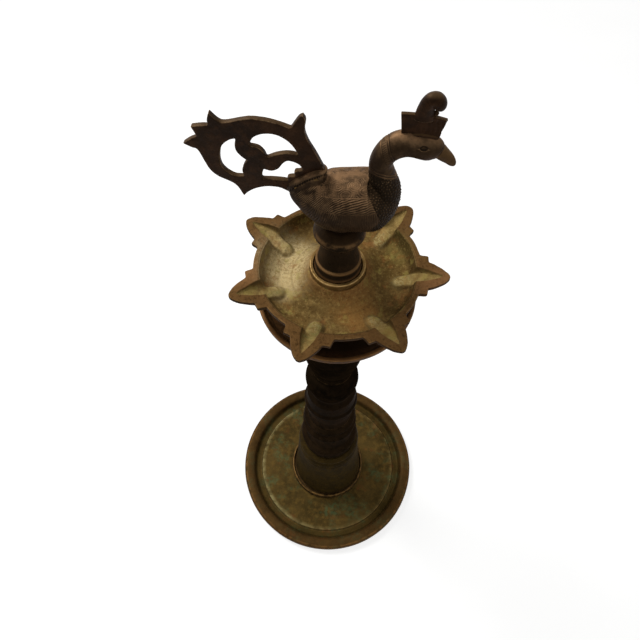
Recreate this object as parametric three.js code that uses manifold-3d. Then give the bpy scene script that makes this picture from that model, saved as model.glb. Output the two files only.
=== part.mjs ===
import * as THREE from "three";
import { mergeVertices } from "three/addons/utils/BufferGeometryUtils.js";
import Module from "manifold-3d";

// A standing oil lamp of cast bronze: a round base dish, a turned stem, a drip dish, a dish with
// seven wick spouts and a bird finial. Each screwed section comes apart. Sizes are in millimetres,
// +Z is up, +X is the way that the bird faces, and the origin is under the middle of the base.

const wasm = await Module();
wasm.setup();

// Clearances
const SEAT_GAP = 0.3;
const THREAD_CLEARANCE = 0.35;
const PIN_CLEARANCE = 0.3;

// Base dish
const BASE_RADIUS = 90;
const BASE_RIM_HEIGHT = 11.6;
const BASE_RIM_WIDTH = 10.8;
const BASE_REST_OUTER = 84;
const BASE_REST_INNER = 70;
const BASE_RECESS = 3;
const BASE_FLOOR_TOP = 5.8;
const BASE_FLOOR_RADIUS = 70.2;
const BASE_CHANNEL_WIDTH = 6.8;
const BASE_CHANNEL_DEPTH = 1.3;

// Foot cup, the shallow ring that the stem stands in
const CUP_RADIUS = 38;
const CUP_WALL = 2.5;
const CUP_FLOOR = 2.5;
const CUP_RIM_RISE = 2.7;

// Screw threads, by their core radius
const THREAD_PITCH = 3;
const THREAD_DEPTH = 1.3;
const THREAD_HALF_WIDTH = 0.9;
const THREAD_TURNS = 3;
const THREAD_STEPS_PER_TURN = 14;
const THREAD_LEAD_IN = 1.5;
const STEM_THREAD_CORE = 7.5;
const DISH_THREAD_CORE = 7.5;
const BIRD_THREAD_CORE = 4.2;
const STUD_HEAD_RADIUS = 15;
const STUD_HEAD = 2.2;

// Stem, five turned sections that stand on each other with spigots
const STEM_BORE = 6.5;
const SPIGOT_RADIUS = 10.2;
const SPIGOT_LENGTH = 5;
const FOOT_RADIUS = 34;
const FOOT_SHOULDER_RADIUS = 28;
const FOOT_HEIGHT = 86.6;
const FOOT_SHOULDER_DROP = 19;
const FOOT_HOLLOW_RADIUS = 29;
const FOOT_HOLLOW_DEPTH = 14;
const SHAFT_RADIUS = 24.6;
const SHAFT_WAIST_RADIUS = 21;
const SHAFT_HEIGHT = 60.2;
const SHAFT_LIP_FOOT = 12;
const SHAFT_LIP_TOP = 17.4;
const SHAFT_WAIST_FOOT = 20;
const SHAFT_WAIST_DROP = 20;
const SHAFT_BEAD = 7;
const SHAFT_BAND = 3.6;
const BAND_RADIUS = 18;
const DRUM_RADIUS = 20;
const DRUM_HEIGHT = 56.7;
const DRUM_BAND_TOP = 15.8;
const DRUM_RING_FOOT = 27;
const DRUM_RING_TOP = 33;
const DRUM_SHOULDER_DROP = 11.7;
const DRUM_NECK_DROP = 7.7;
const DRUM_TOP_BEAD = 4;
const KNOP_RADIUS = 19.5;
const KNOP_HEIGHT = 26.4;
const KNOP_MIDDLE = 10.6;
const KNOP_NECK = 4;
const NECK_RADIUS = 15;
const NECK_BEAD = 4;
const NECK_BEAD_HEIGHT = 3;
const CAPITAL_TOP_RADIUS = 31;
const CAPITAL_HEIGHT = 85;
const CAPITAL_LIP = 4;
const CAPITAL_WALL = 4;
const CAPITAL_BOSS_RADIUS = 13;
const CAPITAL_HOLLOW_RADIUS = 17;
const CAPITAL_HOLLOW_DEPTH = 32;

// Drip dish
const DRIP_RADIUS = 47.5;
const DRIP_HEIGHT = 15;
const DRIP_WALL = 3;
const DRIP_FLOOR_RADIUS = 30;

// Star dish
const SPOUTS = 7;
const STAR_RADIUS = 47.1;
const STAR_RIM_WIDTH = 3.5;
const STAR_FLANGE = 2.6;
const STAR_DEPTH = 11;
const STAR_FLOOR = 3;
const STAR_FLOOR_RADIUS = 36;
const STAR_CONE_RADIUS = 24;
const SPOUT_REACH = 63;
const SPOUT_HALF_WIDTH = 13;
const PETAL_HALF_WIDTH = 9;
const SPOUT_BARB = 3.4;
const TROUGH_REACH = 57;
const TROUGH_INWARD = 8;
const TROUGH_HALF_WIDTH = 3.9;
const TROUGH_TIP_HALF_WIDTH = 1.2;
const TROUGH_DEPTH = 7;
const KEEL_HALF_WIDTH = 8;
const KEEL_DEPTH = 10;

// Hub under and inside the star dish
const HUB_RADIUS = 15.7;
const HUB_CUP_RADIUS = 13.5;
const HUB_CUP_DEPTH = 4.7;
const HUB_ABOVE_RIM = 2.2;
const HUB_FLANGE_RADIUS = 20;
const HUB_FLANGE = 3;
const HUB_FOOT_RADIUS = 14;
const HUB_WAIST = 3.2;
const HUB_PEDESTAL = 18.6;

// Finial spool and knob under the bird
const SPOOL_RADIUS = 13.1;
const SPOOL_LIP_RADIUS = 12.5;
const SPOOL_LIP_HEIGHT = 10;
const SPOOL_NECK_RADIUS = 8.8;
const SPOOL_HEIGHT = 26.2;
const KNOB_RADIUS = 13.1;
const KNOB_HEIGHT = 11;
const TANG_ABOVE_KNOB = 9;

// Bird: its body's widest radius, and the sizes of what stands on it
const BODY_RADIUS = 15.5;
const BODY_ABOVE_SEAT = 14.1;
const BODY_FOOT_RADIUS = 8.4;
const BODY_FOOT_DEPTH = 5;
const BODY_SIDES = 22;
const BIRD_NECK_RADIUS = 5.3;
const CREST_THICKNESS = 2;
const CURL_RADIUS = 3.3;
const TAIL_THICKNESS = 3.4;
const CUFF_HALF_WIDTH = 4.1;
const CUFF_HALF_HEIGHT = 5.6;
const TAIL_PIN_RADIUS = 1.3;
const TAIL_PIN_SUNK = 0.4;

// A threaded end from its tip to its last turn
const THREAD_LENGTH = THREAD_TURNS * THREAD_PITCH + 2 * THREAD_LEAD_IN;

// Where each section stands
const CUP_Z = BASE_FLOOR_TOP + SEAT_GAP;
const STEM_Z = CUP_Z + CUP_FLOOR + SEAT_GAP;
const SHAFT_Z = STEM_Z + FOOT_HEIGHT + SEAT_GAP;
const DRUM_Z = SHAFT_Z + SHAFT_HEIGHT + SEAT_GAP;
const KNOP_Z = DRUM_Z + DRUM_HEIGHT + SEAT_GAP;
const CAPITAL_Z = KNOP_Z + KNOP_HEIGHT + SEAT_GAP;
const DRIP_Z = CAPITAL_Z + CAPITAL_HEIGHT + SEAT_GAP;
const HUB_Z = DRIP_Z + DRIP_WALL + SEAT_GAP;
const HUB_FLANGE_TOP = HUB_PEDESTAL + HUB_FLANGE;
const STAR_Z = HUB_Z + HUB_FLANGE_TOP + SEAT_GAP;
const STAR_RIM = STAR_FLOOR + STAR_DEPTH;
const HUB_TOP = HUB_FLANGE_TOP + SEAT_GAP + STAR_RIM + HUB_ABOVE_RIM;
const SPOOL_Z = HUB_Z + HUB_TOP - HUB_CUP_DEPTH + SEAT_GAP;
const KNOB_Z = SPOOL_Z + SPOOL_HEIGHT + SEAT_GAP;
const BIRD_Z = KNOB_Z + KNOB_HEIGHT + SEAT_GAP + BODY_ABOVE_SEAT;

// Finishes
const DARK_BRONZE = { color: 0x2e2219, roughness: 0.5, metalness: 0.85 };
const BROWN_BRONZE = { color: 0x5a4326, roughness: 0.5, metalness: 0.8 };
const OLIVE_BRONZE = { color: 0x6b5a2a, roughness: 0.5, metalness: 0.8 };

const TURN_SIDES = 24;
const DISH_SIDES = 42;

// A geometry as a solid for joins and cuts, and back.
function solid(geometry) {
  const bare = geometry.index ? geometry.toNonIndexed() : geometry.clone();
  bare.deleteAttribute("normal");
  bare.deleteAttribute("uv");
  const merged = mergeVertices(bare, 1e-4);
  return new wasm.Manifold(
    new wasm.Mesh({
      numProp: 3,
      vertProperties: merged.attributes.position.array,
      triVerts: new Uint32Array(merged.index.array),
    }),
  );
}

function geometryOf(made) {
  const mesh = made.getMesh();
  const geometry = new THREE.BufferGeometry();
  geometry.setAttribute("position", new THREE.BufferAttribute(mesh.vertProperties, 3));
  geometry.setIndex(new THREE.BufferAttribute(mesh.triVerts, 1));
  geometry.computeVertexNormals();
  return geometry;
}

// The outer line of a turned piece, drawn upwards with straight runs and swellings.
class Moulding {
  constructor(radius, height) {
    this.path = new THREE.Path();
    this.path.moveTo(radius, height);
  }
  to(radius, height) {
    this.path.lineTo(radius, height);
    return this;
  }
  // A curve that swells by out at its middle, or is hollow where out is negative.
  swell(radius, height, out) {
    const from = this.path.currentPoint;
    const middle = (from.x + radius) / 2 + 2 * out;
    this.path.quadraticCurveTo(middle, (from.y + height) / 2, radius, height);
    return this;
  }
  points(divisions = 3) {
    return this.path.getPoints(divisions);
  }
}

// A ring turned about +Z: outer is drawn upwards and inner downwards, and the line closes on itself.
function turned(outer, inner, sides = TURN_SIDES) {
  const hollow = inner.map(([radius, height]) => new THREE.Vector2(radius, height));
  const line = [...outer, ...hollow, outer[0].clone()];
  const geometry = new THREE.LatheGeometry(line, sides);
  return geometry.rotateX(Math.PI / 2);
}

// A closed skin over rings of points, with the two ends filled.
function skin(rings) {
  const count = rings[0].length;
  const positions = rings.flat().flatMap((p) => [p.x, p.y, p.z]);
  const index = [];
  for (let i = 0; i + 1 < rings.length; i += 1) {
    for (let j = 0; j < count; j += 1) {
      const a = i * count + j;
      const b = i * count + ((j + 1) % count);
      index.push(a, b, b + count, a, b + count, a + count);
    }
  }
  const last = (rings.length - 1) * count;
  for (let j = 1; j + 1 < count; j += 1) {
    index.push(0, j + 1, j, last, last + j, last + j + 1);
  }
  const geometry = new THREE.BufferGeometry();
  geometry.setAttribute("position", new THREE.Float32BufferAttribute(positions, 3));
  geometry.setIndex(index);
  return geometry;
}

// A rounded form along a line in the bird's upright plane. Each station gives its place along the
// bird, its height, its half-width across the bird and its half-height across the line.
function limb(stations, sides, grow = 0) {
  const places = stations.map(([along, up]) => new THREE.Vector2(along, up));
  const rings = stations.map(([along, up, half, tall], i) => {
    const before = places[Math.max(i - 1, 0)];
    const after = places[Math.min(i + 1, places.length - 1)];
    const course = after.clone().sub(before).normalize();
    const ring = [];
    for (let j = 0; j < sides; j += 1) {
      const turn = (2 * Math.PI * j) / sides;
      const side = (half + grow) * Math.cos(turn);
      const rise = (tall + grow) * Math.sin(turn);
      ring.push(new THREE.Vector3(along - course.y * rise, side, up + course.x * rise));
    }
    return ring;
  });
  return skin(rings);
}

// A three-sided ridge that climbs round a core, for a screw thread. Its first turn starts at z = 0.
function threadRidge(core, turns, grow) {
  const sunk = 0.5;
  const half = THREAD_HALF_WIDTH + grow;
  const rootHalf = half * (1 + sunk / THREAD_DEPTH);
  const rings = [];
  for (let i = 0; i <= turns * THREAD_STEPS_PER_TURN; i += 1) {
    const turn = (2 * Math.PI * i) / THREAD_STEPS_PER_TURN;
    const height = (THREAD_PITCH * i) / THREAD_STEPS_PER_TURN;
    const root = core + grow - sunk;
    const crest = core + grow + THREAD_DEPTH;
    const at = (radius, up) =>
      new THREE.Vector3(radius * Math.cos(turn), radius * Math.sin(turn), height + up);
    rings.push([at(root, -rootHalf), at(root, rootHalf), at(crest, 0)]);
  }
  return skin(rings);
}

// A round rod about +Z.
function rod(radius, bottom, top, sides = TURN_SIDES) {
  const geometry = new THREE.CylinderGeometry(radius, radius, top - bottom, sides);
  return geometry.rotateX(Math.PI / 2).translate(0, 0, (top + bottom) / 2);
}

// A rod from bottom to top with a thread at its lower or upper end, whose tip lies at tip.
function threadedRod(core, bottom, top, tip) {
  const ridge = threadRidge(core, THREAD_TURNS, 0).translate(0, 0, tip + THREAD_LEAD_IN);
  return solid(rod(core, bottom, top, THREAD_STEPS_PER_TURN)).add(solid(ridge));
}

// The space that such a thread turns in, to cut from the piece that it screws into.
function tappedSpace(core, bottom, top, tip) {
  const ridge = threadRidge(core, THREAD_TURNS + 2, THREAD_CLEARANCE);
  ridge.translate(0, 0, tip + THREAD_LEAD_IN - THREAD_PITCH);
  return solid(rod(core + THREAD_CLEARANCE, bottom, top)).add(solid(ridge));
}

// A plate cut from an outline in the bird's upright plane, of the given thickness about y = 0.
function plate(outline, holes, thickness) {
  const shape = new THREE.Shape(outline.map(([along, up]) => new THREE.Vector2(along, up)));
  for (const hole of holes) {
    shape.holes.push(new THREE.Path(hole.map(([along, up]) => new THREE.Vector2(along, up))));
  }
  const geometry = new THREE.ExtrudeGeometry(shape, { depth: thickness, bevelEnabled: false });
  return geometry.rotateX(Math.PI / 2).translate(0, thickness / 2, 0);
}

const lamp = new THREE.Group();

function place(name, geometry, height, finish) {
  const mesh = new THREE.Mesh(geometry, new THREE.MeshStandardMaterial(finish));
  mesh.name = name;
  mesh.position.z = height;
  lamp.add(mesh);
}

// Base dish: a raised floor inside a channel and a rounded rim, resting on a flat ring.
function baseDish() {
  const rimInner = BASE_RADIUS - BASE_RIM_WIDTH;
  const channelFloor = BASE_FLOOR_TOP - BASE_CHANNEL_DEPTH;
  const channelOuter = BASE_FLOOR_RADIUS + BASE_CHANNEL_WIDTH;
  const hole = STEM_THREAD_CORE + SEAT_GAP;
  const outer = new Moulding(BASE_REST_OUTER, 0)
    .swell(BASE_RADIUS, BASE_RIM_HEIGHT * 0.6, 0.8)
    .swell(BASE_RADIUS - 3.4, BASE_RIM_HEIGHT, 0.9)
    .swell(rimInner, BASE_RIM_HEIGHT - 1.4, 0)
    .swell(channelOuter, channelFloor, 0.4)
    .to(BASE_FLOOR_RADIUS + 0.8, channelFloor)
    .to(BASE_FLOOR_RADIUS, BASE_FLOOR_TOP)
    .to(hole, BASE_FLOOR_TOP)
    .points();
  const under = [
    [hole, BASE_RECESS],
    [BASE_REST_INNER - BASE_RECESS, BASE_RECESS],
    [BASE_REST_INNER, 0],
  ];
  return turned(outer, under, DISH_SIDES);
}

function baseStud() {
  const hollowTop = STEM_Z + FOOT_HOLLOW_DEPTH;
  const headTop = BASE_RECESS - SEAT_GAP;
  const shank = threadedRod(STEM_THREAD_CORE, headTop - 1, hollowTop + THREAD_LENGTH, hollowTop);
  return geometryOf(shank.add(solid(rod(STUD_HEAD_RADIUS, headTop - STUD_HEAD, headTop))));
}

function footCup() {
  const inner = CUP_RADIUS - CUP_WALL;
  const hole = STEM_THREAD_CORE + THREAD_DEPTH + 2 * THREAD_CLEARANCE;
  const outer = new Moulding(CUP_RADIUS, 0)
    .to(CUP_RADIUS, CUP_FLOOR + CUP_RIM_RISE * 0.6)
    .swell(inner, CUP_FLOOR + CUP_RIM_RISE, 0.8)
    .to(inner, CUP_FLOOR)
    .points();
  return turned(outer, [[hole, CUP_FLOOR], [hole, 0]], DISH_SIDES);
}

// The spigot on a section's top, and the socket for it in the next section's foot.
function spigotInner(height) {
  return [
    [SPIGOT_RADIUS, height],
    [SPIGOT_RADIUS, height + SPIGOT_LENGTH],
    [STEM_BORE, height + SPIGOT_LENGTH],
  ];
}

const SOCKET_INNER = [
  [STEM_BORE, SPIGOT_LENGTH + 2 * SEAT_GAP],
  [SPIGOT_RADIUS + SEAT_GAP, SPIGOT_LENGTH + 2 * SEAT_GAP],
  [SPIGOT_RADIUS + SEAT_GAP, 0],
];

function stemFoot() {
  const shoulder = FOOT_HEIGHT - FOOT_SHOULDER_DROP;
  const outer = new Moulding(FOOT_RADIUS - 1.2, 0)
    .swell(FOOT_RADIUS, 3.4, 0.3)
    .swell(FOOT_SHOULDER_RADIUS, shoulder, 0.9)
    .to(FOOT_SHOULDER_RADIUS - 2.4, shoulder + 1)
    .to(FOOT_SHOULDER_RADIUS - 2.2, shoulder + 2.4)
    .swell(FOOT_SHOULDER_RADIUS - 1, FOOT_HEIGHT - 11, 1.6)
    .to(SHAFT_RADIUS + 0.6, FOOT_HEIGHT - 10)
    .to(SHAFT_RADIUS + 0.6, FOOT_HEIGHT - 6.6)
    .swell(SHAFT_RADIUS + 0.4, FOOT_HEIGHT, 2.4)
    .points();
  const inner = [
    ...spigotInner(FOOT_HEIGHT),
    [STEM_BORE, FOOT_HOLLOW_DEPTH],
    [FOOT_HOLLOW_RADIUS, FOOT_HOLLOW_DEPTH],
    [FOOT_HOLLOW_RADIUS, 0],
  ];
  const space = tappedSpace(
    STEM_THREAD_CORE,
    FOOT_HOLLOW_DEPTH - SEAT_GAP,
    FOOT_HOLLOW_DEPTH + THREAD_LENGTH + SEAT_GAP,
    FOOT_HOLLOW_DEPTH,
  );
  return geometryOf(solid(turned(outer, inner)).subtract(space));
}

function stemShaft() {
  const waistTop = SHAFT_HEIGHT - SHAFT_WAIST_DROP;
  const bandFoot = waistTop + SHAFT_BEAD + 1;
  const outer = new Moulding(SHAFT_RADIUS - 0.8, 0)
    .to(SHAFT_RADIUS - 0.6, SHAFT_LIP_FOOT)
    .swell(SHAFT_RADIUS - 0.6, SHAFT_LIP_TOP, 1)
    .swell(SHAFT_WAIST_RADIUS, SHAFT_WAIST_FOOT, -0.4)
    .swell(SHAFT_WAIST_RADIUS - 0.4, waistTop, -0.8)
    .swell(SHAFT_WAIST_RADIUS - 0.4, waistTop + SHAFT_BEAD, 1.9)
    .to(BAND_RADIUS + 1, bandFoot)
    .to(BAND_RADIUS + 1, bandFoot + SHAFT_BAND)
    .swell(BAND_RADIUS + 1, SHAFT_HEIGHT, 2.2)
    .points();
  return turned(outer, [...spigotInner(SHAFT_HEIGHT), ...SOCKET_INNER]);
}

function stemDrum() {
  const outer = new Moulding(BAND_RADIUS + 0.6, 0)
    .swell(BAND_RADIUS + 0.4, DRUM_BAND_TOP, -1)
    .to(DRUM_RADIUS - 0.4, DRUM_BAND_TOP + 0.6)
    .to(DRUM_RADIUS, DRUM_RING_FOOT)
    .swell(DRUM_RADIUS, DRUM_RING_TOP, 1)
    .to(DRUM_RADIUS - 0.6, DRUM_HEIGHT - DRUM_SHOULDER_DROP)
    .swell(BAND_RADIUS - 1.6, DRUM_HEIGHT - DRUM_NECK_DROP, -0.3)
    .to(BAND_RADIUS - 1.8, DRUM_HEIGHT - DRUM_TOP_BEAD)
    .swell(BAND_RADIUS - 1.8, DRUM_HEIGHT, 0.9)
    .points();
  return turned(outer, [...spigotInner(DRUM_HEIGHT), ...SOCKET_INNER]);
}

function stemKnop() {
  const bulb = new Moulding(BAND_RADIUS - 3.6, 0)
    .swell(KNOP_RADIUS, KNOP_MIDDLE, 1.3)
    .swell(NECK_RADIUS, KNOP_HEIGHT - KNOP_NECK, 1.8)
    .to(NECK_RADIUS, KNOP_HEIGHT)
    .points(5);
  return turned(bulb, [...spigotInner(KNOP_HEIGHT), ...SOCKET_INNER]);
}

// The trumpet that carries the dishes. It is hollow round a threaded boss.
function stemCapital() {
  const flareFoot = NECK_BEAD_HEIGHT + NECK_BEAD + 0.6;
  const hollowFoot = CAPITAL_HEIGHT - CAPITAL_HOLLOW_DEPTH;
  const outer = new Moulding(NECK_RADIUS, 0)
    .to(NECK_RADIUS, NECK_BEAD_HEIGHT)
    .swell(NECK_RADIUS, NECK_BEAD_HEIGHT + NECK_BEAD, 0.6)
    .to(NECK_RADIUS + 0.5, flareFoot)
    .swell(CAPITAL_TOP_RADIUS - 1, CAPITAL_HEIGHT - CAPITAL_LIP, 0.3)
    .swell(CAPITAL_TOP_RADIUS, CAPITAL_HEIGHT, 0.5)
    .points(4);
  const inner = [
    [CAPITAL_TOP_RADIUS - CAPITAL_WALL, CAPITAL_HEIGHT],
    [CAPITAL_HOLLOW_RADIUS, hollowFoot],
    [CAPITAL_BOSS_RADIUS, hollowFoot],
    [CAPITAL_BOSS_RADIUS, CAPITAL_HEIGHT],
    [STEM_BORE, CAPITAL_HEIGHT],
    ...SOCKET_INNER,
  ];
  const tip = CAPITAL_HEIGHT - THREAD_LENGTH;
  const space = tappedSpace(DISH_THREAD_CORE, tip - SEAT_GAP, CAPITAL_HEIGHT + SEAT_GAP, tip);
  return geometryOf(solid(turned(outer, inner)).subtract(space));
}

function dripDish() {
  const hole = DISH_THREAD_CORE + THREAD_DEPTH + 2 * THREAD_CLEARANCE;
  const outer = new Moulding(DRIP_FLOOR_RADIUS, 0)
    .swell(DRIP_RADIUS - 1, DRIP_HEIGHT - 2.6, 1.6)
    .swell(DRIP_RADIUS - 0.6, DRIP_HEIGHT, 0.5)
    .to(DRIP_RADIUS - DRIP_WALL, DRIP_HEIGHT - 0.4)
    .swell(DRIP_FLOOR_RADIUS, DRIP_WALL, 1.6)
    .points();
  return turned(outer, [[hole, DRIP_WALL], [hole, 0]], DISH_SIDES);
}

// Star dish: a round pan with a cone at its middle, and spouts of one pattern round its rim.
function starPan() {
  const panRim = STAR_RADIUS - STAR_RIM_WIDTH;
  const hole = HUB_RADIUS + SEAT_GAP;
  const outer = new Moulding(HUB_FLANGE_RADIUS, 0)
    .to(STAR_FLOOR_RADIUS, 0)
    .swell(STAR_RADIUS - 2.4, STAR_RIM - STAR_FLANGE, 1.4)
    .to(STAR_RADIUS, STAR_RIM - STAR_FLANGE)
    .to(STAR_RADIUS, STAR_RIM)
    .to(panRim, STAR_RIM)
    .swell(STAR_FLOOR_RADIUS - 1.4, STAR_FLOOR, 1.2)
    .to(STAR_CONE_RADIUS, STAR_FLOOR)
    .swell(hole, STAR_RIM - 1, -0.6)
    .points();
  return turned(outer, [[hole, 0]], DISH_SIDES);
}

// A spout's keel or its trough, as a boat-shaped form that rises outwards.
function boat(from, to, halfWidth, tipHalfWidth, top, depth, tipDepth) {
  const stations = 4;
  const rings = [];
  for (let i = 0; i < stations; i += 1) {
    const share = i / (stations - 1);
    const reach = from + (to - from) * share;
    const half = halfWidth + (tipHalfWidth - halfWidth) * share;
    const deep = depth + (tipDepth - depth) * share;
    const ring = [new THREE.Vector3(reach, half, top), new THREE.Vector3(reach, -half, top)];
    for (let j = 1; j < 5; j += 1) {
      const turn = (Math.PI * j) / 5;
      const side = -half * Math.cos(turn);
      ring.push(new THREE.Vector3(reach, side, top - deep * Math.sin(turn)));
    }
    rings.push(ring);
  }
  return skin(rings);
}

function spoutBlade() {
  const root = STAR_RADIUS - 1;
  const barb = STAR_RADIUS + SPOUT_BARB;
  const right = [
    [root, -SPOUT_HALF_WIDTH],
    [barb - 0.6, -SPOUT_HALF_WIDTH],
    [barb, -PETAL_HALF_WIDTH],
    [SPOUT_REACH - 6.4, -PETAL_HALF_WIDTH * 0.7],
    [SPOUT_REACH - 3.2, -PETAL_HALF_WIDTH * 0.48],
    [SPOUT_REACH - 0.6, -PETAL_HALF_WIDTH * 0.15],
  ];
  const left = right.map(([reach, side]) => [reach, -side]).reverse();
  const outline = [...right, [SPOUT_REACH, 0], ...left];
  const shape = new THREE.Shape(outline.map(([x, y]) => new THREE.Vector2(x, y)));
  const blade = new THREE.ExtrudeGeometry(shape, { depth: STAR_FLANGE, bevelEnabled: false });
  return blade.translate(0, 0, STAR_RIM - STAR_FLANGE);
}

function starDish() {
  const keelTop = STAR_RIM - STAR_FLANGE / 2;
  const keelReach = SPOUT_REACH - 3;
  const keelTip = TROUGH_TIP_HALF_WIDTH + 0.2;
  const keel = boat(STAR_FLOOR_RADIUS, keelReach, KEEL_HALF_WIDTH, keelTip, keelTop, KEEL_DEPTH, 2);
  const trough = boat(
    STAR_FLOOR_RADIUS - TROUGH_INWARD,
    TROUGH_REACH,
    TROUGH_HALF_WIDTH + 1,
    TROUGH_TIP_HALF_WIDTH,
    STAR_RIM + 0.5,
    TROUGH_DEPTH + 2,
    1.6,
  );
  const spout = solid(spoutBlade()).add(solid(keel));
  const pan = solid(starPan());
  const hollow = new Moulding(HUB_FLANGE_RADIUS, STAR_FLOOR + 0.01)
    .to(STAR_FLOOR_RADIUS - 1.4, STAR_FLOOR + 0.01)
    .swell(STAR_RADIUS - STAR_RIM_WIDTH, STAR_RIM + 1, 1.2)
    .points();
  const panSpace = solid(turned(hollow, [[HUB_FLANGE_RADIUS, STAR_RIM + 1]], DISH_SIDES));
  let dish = pan;
  const cut = solid(trough);
  for (let i = 0; i < SPOUTS; i += 1) {
    const degrees = (-360 * i) / SPOUTS;
    dish = dish.add(spout.subtract(panSpace).rotate([0, 0, degrees]));
    dish = dish.subtract(cut.rotate([0, 0, degrees]));
  }
  return geometryOf(dish);
}

function dishHub() {
  const cupFloor = HUB_TOP - HUB_CUP_DEPTH;
  const outer = new Moulding(HUB_FOOT_RADIUS, 0)
    .to(HUB_FOOT_RADIUS, 2.4)
    .swell(HUB_FOOT_RADIUS, HUB_PEDESTAL - 3, -HUB_WAIST)
    .to(HUB_FLANGE_RADIUS - 1, HUB_PEDESTAL)
    .to(HUB_FLANGE_RADIUS - 1, HUB_FLANGE_TOP)
    .to(HUB_RADIUS, HUB_FLANGE_TOP)
    .to(HUB_RADIUS, HUB_TOP - 0.6)
    .to(HUB_RADIUS - 0.6, HUB_TOP)
    .to(HUB_CUP_RADIUS, HUB_TOP)
    .to(HUB_CUP_RADIUS, cupFloor)
    .points();
  const axis = [[0, cupFloor], [0, 0]];
  const lowTip = -(DRIP_WALL + 2 * SEAT_GAP + THREAD_LENGTH);
  const tang = threadedRod(DISH_THREAD_CORE, lowTip, 1, lowTip);
  const tip = cupFloor - THREAD_LENGTH;
  const space = tappedSpace(BIRD_THREAD_CORE, tip - SEAT_GAP, cupFloor + SEAT_GAP, tip);
  return geometryOf(solid(turned(outer, axis)).add(tang).subtract(space));
}

function finialSpool() {
  const bore = BIRD_THREAD_CORE + THREAD_DEPTH + 2 * THREAD_CLEARANCE;
  const outer = new Moulding(SPOOL_RADIUS, 0)
    .to(SPOOL_RADIUS, HUB_CUP_DEPTH)
    .swell(SPOOL_LIP_RADIUS - 1.4, SPOOL_LIP_HEIGHT - 2, -0.2)
    .swell(SPOOL_LIP_RADIUS - 0.6, SPOOL_LIP_HEIGHT, 0.8)
    .swell(SPOOL_NECK_RADIUS, SPOOL_HEIGHT - 1, -0.4)
    .to(SPOOL_NECK_RADIUS, SPOOL_HEIGHT)
    .points();
  return turned(outer, [[bore, SPOOL_HEIGHT], [bore, 0]]);
}

function finialKnob() {
  const bore = BIRD_THREAD_CORE + SEAT_GAP;
  const outer = new Moulding(SPOOL_NECK_RADIUS, 0)
    .swell(KNOB_RADIUS, KNOB_HEIGHT / 2, 0.9)
    .swell(SPOOL_NECK_RADIUS, KNOB_HEIGHT, 0.9)
    .points(5);
  return turned(outer, [[bore, KNOB_HEIGHT], [bore, 0]]);
}

// The tang runs from the bird through the knob and the spool into the hub.
function birdTang() {
  const tip = SPOOL_Z - SEAT_GAP - KNOB_Z - THREAD_LENGTH;
  const top = KNOB_HEIGHT + SEAT_GAP + TANG_ABOVE_KNOB;
  return geometryOf(threadedRod(BIRD_THREAD_CORE, tip, top, tip));
}

const BODY_STATIONS = [
  [-24.2, 6.4, 0.14],
  [-21.5, 5.4, 0.33],
  [-18.2, 4.6, 0.49],
  [-14, 3.6, 0.67],
  [-11, 3.2, 0.79],
  [-7, 2.6, 0.93],
  [-2.4, 2.2, 0.98],
  [3.5, 2.7, 0.99],
  [10.8, 3.8, 0.99],
  [14.5, 4.2, 0.96],
  [18, 5.2, 0.85],
  [21.4, 6.4, 0.65],
  [24.2, 7.6, 0.41],
  [26, 8.4, 0.21],
  [26.8, 8.8, 0.08],
];

// A limb of round section, whose stations give each radius as a share of the widest.
function roundLimb(stations, radius, sides, grow = 0) {
  const round = stations.map(([along, up, share]) => [along, up, radius * share, radius * share]);
  return limb(round, sides, grow);
}

function bodyForm(grow) {
  return roundLimb(BODY_STATIONS, BODY_RADIUS, BODY_SIDES, grow);
}

const CUFF_STATIONS = [
  [-7.2, 16.6, 0.4],
  [-9, 15.8, 0.9],
  [-13, 14, 1],
  [-17.5, 11.4, 1],
  [-21, 8.8, 0.9],
  [-23.8, 6.9, 0.7],
  [-25.2, 6, 0.35],
];

const TAIL_PINS = [
  [-11.5, 16.5],
  [-20.5, 10.5],
];

function tailPin(radius, length) {
  return new THREE.CylinderGeometry(radius, radius, length, 12);
}

const TAIL_OUTLINE = [
  [-7.4, 20.1], [-11.8, 29.9], [-15.3, 36.8], [-16.7, 42.1], [-16.2, 47.3], [-17.4, 49.8],
  [-19.4, 48.3], [-22.7, 42.9], [-27.1, 44.4], [-32.6, 45.7], [-39, 46], [-43.4, 45.1],
  [-50.6, 43], [-53.5, 43.7], [-56.8, 47.4], [-58.1, 43.5], [-58.1, 40.6], [-61.5, 40.3],
  [-65.9, 39.3], [-64, 34.1], [-71.1, 29.6], [-67.4, 27.7], [-65, 27], [-63.2, 20.6],
  [-61.4, 15.9], [-58.1, 12.1], [-50.6, 7.7], [-47.4, 0.9], [-44.4, 4.1], [-40.1, 7],
  [-34.6, 8.7], [-29.2, 8.6], [-25.4, 6.2], [-20, 7], [-12, 12.6], [-7.4, 14.4],
];

const TAIL_OPENINGS = [
  [
    [-47.2, 34.7], [-53.3, 30.7], [-55.8, 24.2], [-54.8, 17.2], [-49.1, 12.8], [-46.2, 12.8],
    [-46.5, 16.7], [-44.5, 22.4], [-47.9, 26.5], [-48.2, 29.7],
  ],
  [
    [-40.8, 33.7], [-35.4, 38.4], [-28.4, 38.3], [-22.9, 34.8], [-20.4, 29.5], [-24.4, 30.5],
    [-32.6, 28.7], [-34.6, 26.5], [-37, 31],
  ],
  [
    [-36.2, 18.5], [-31.5, 18], [-27.3, 22], [-25.1, 24.7], [-20.1, 22.9], [-18.8, 21.5],
    [-21.5, 20.2], [-21.8, 16.9], [-25, 16.4], [-25.5, 14.7], [-32.7, 14.4], [-37, 13.8],
  ],
];

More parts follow.
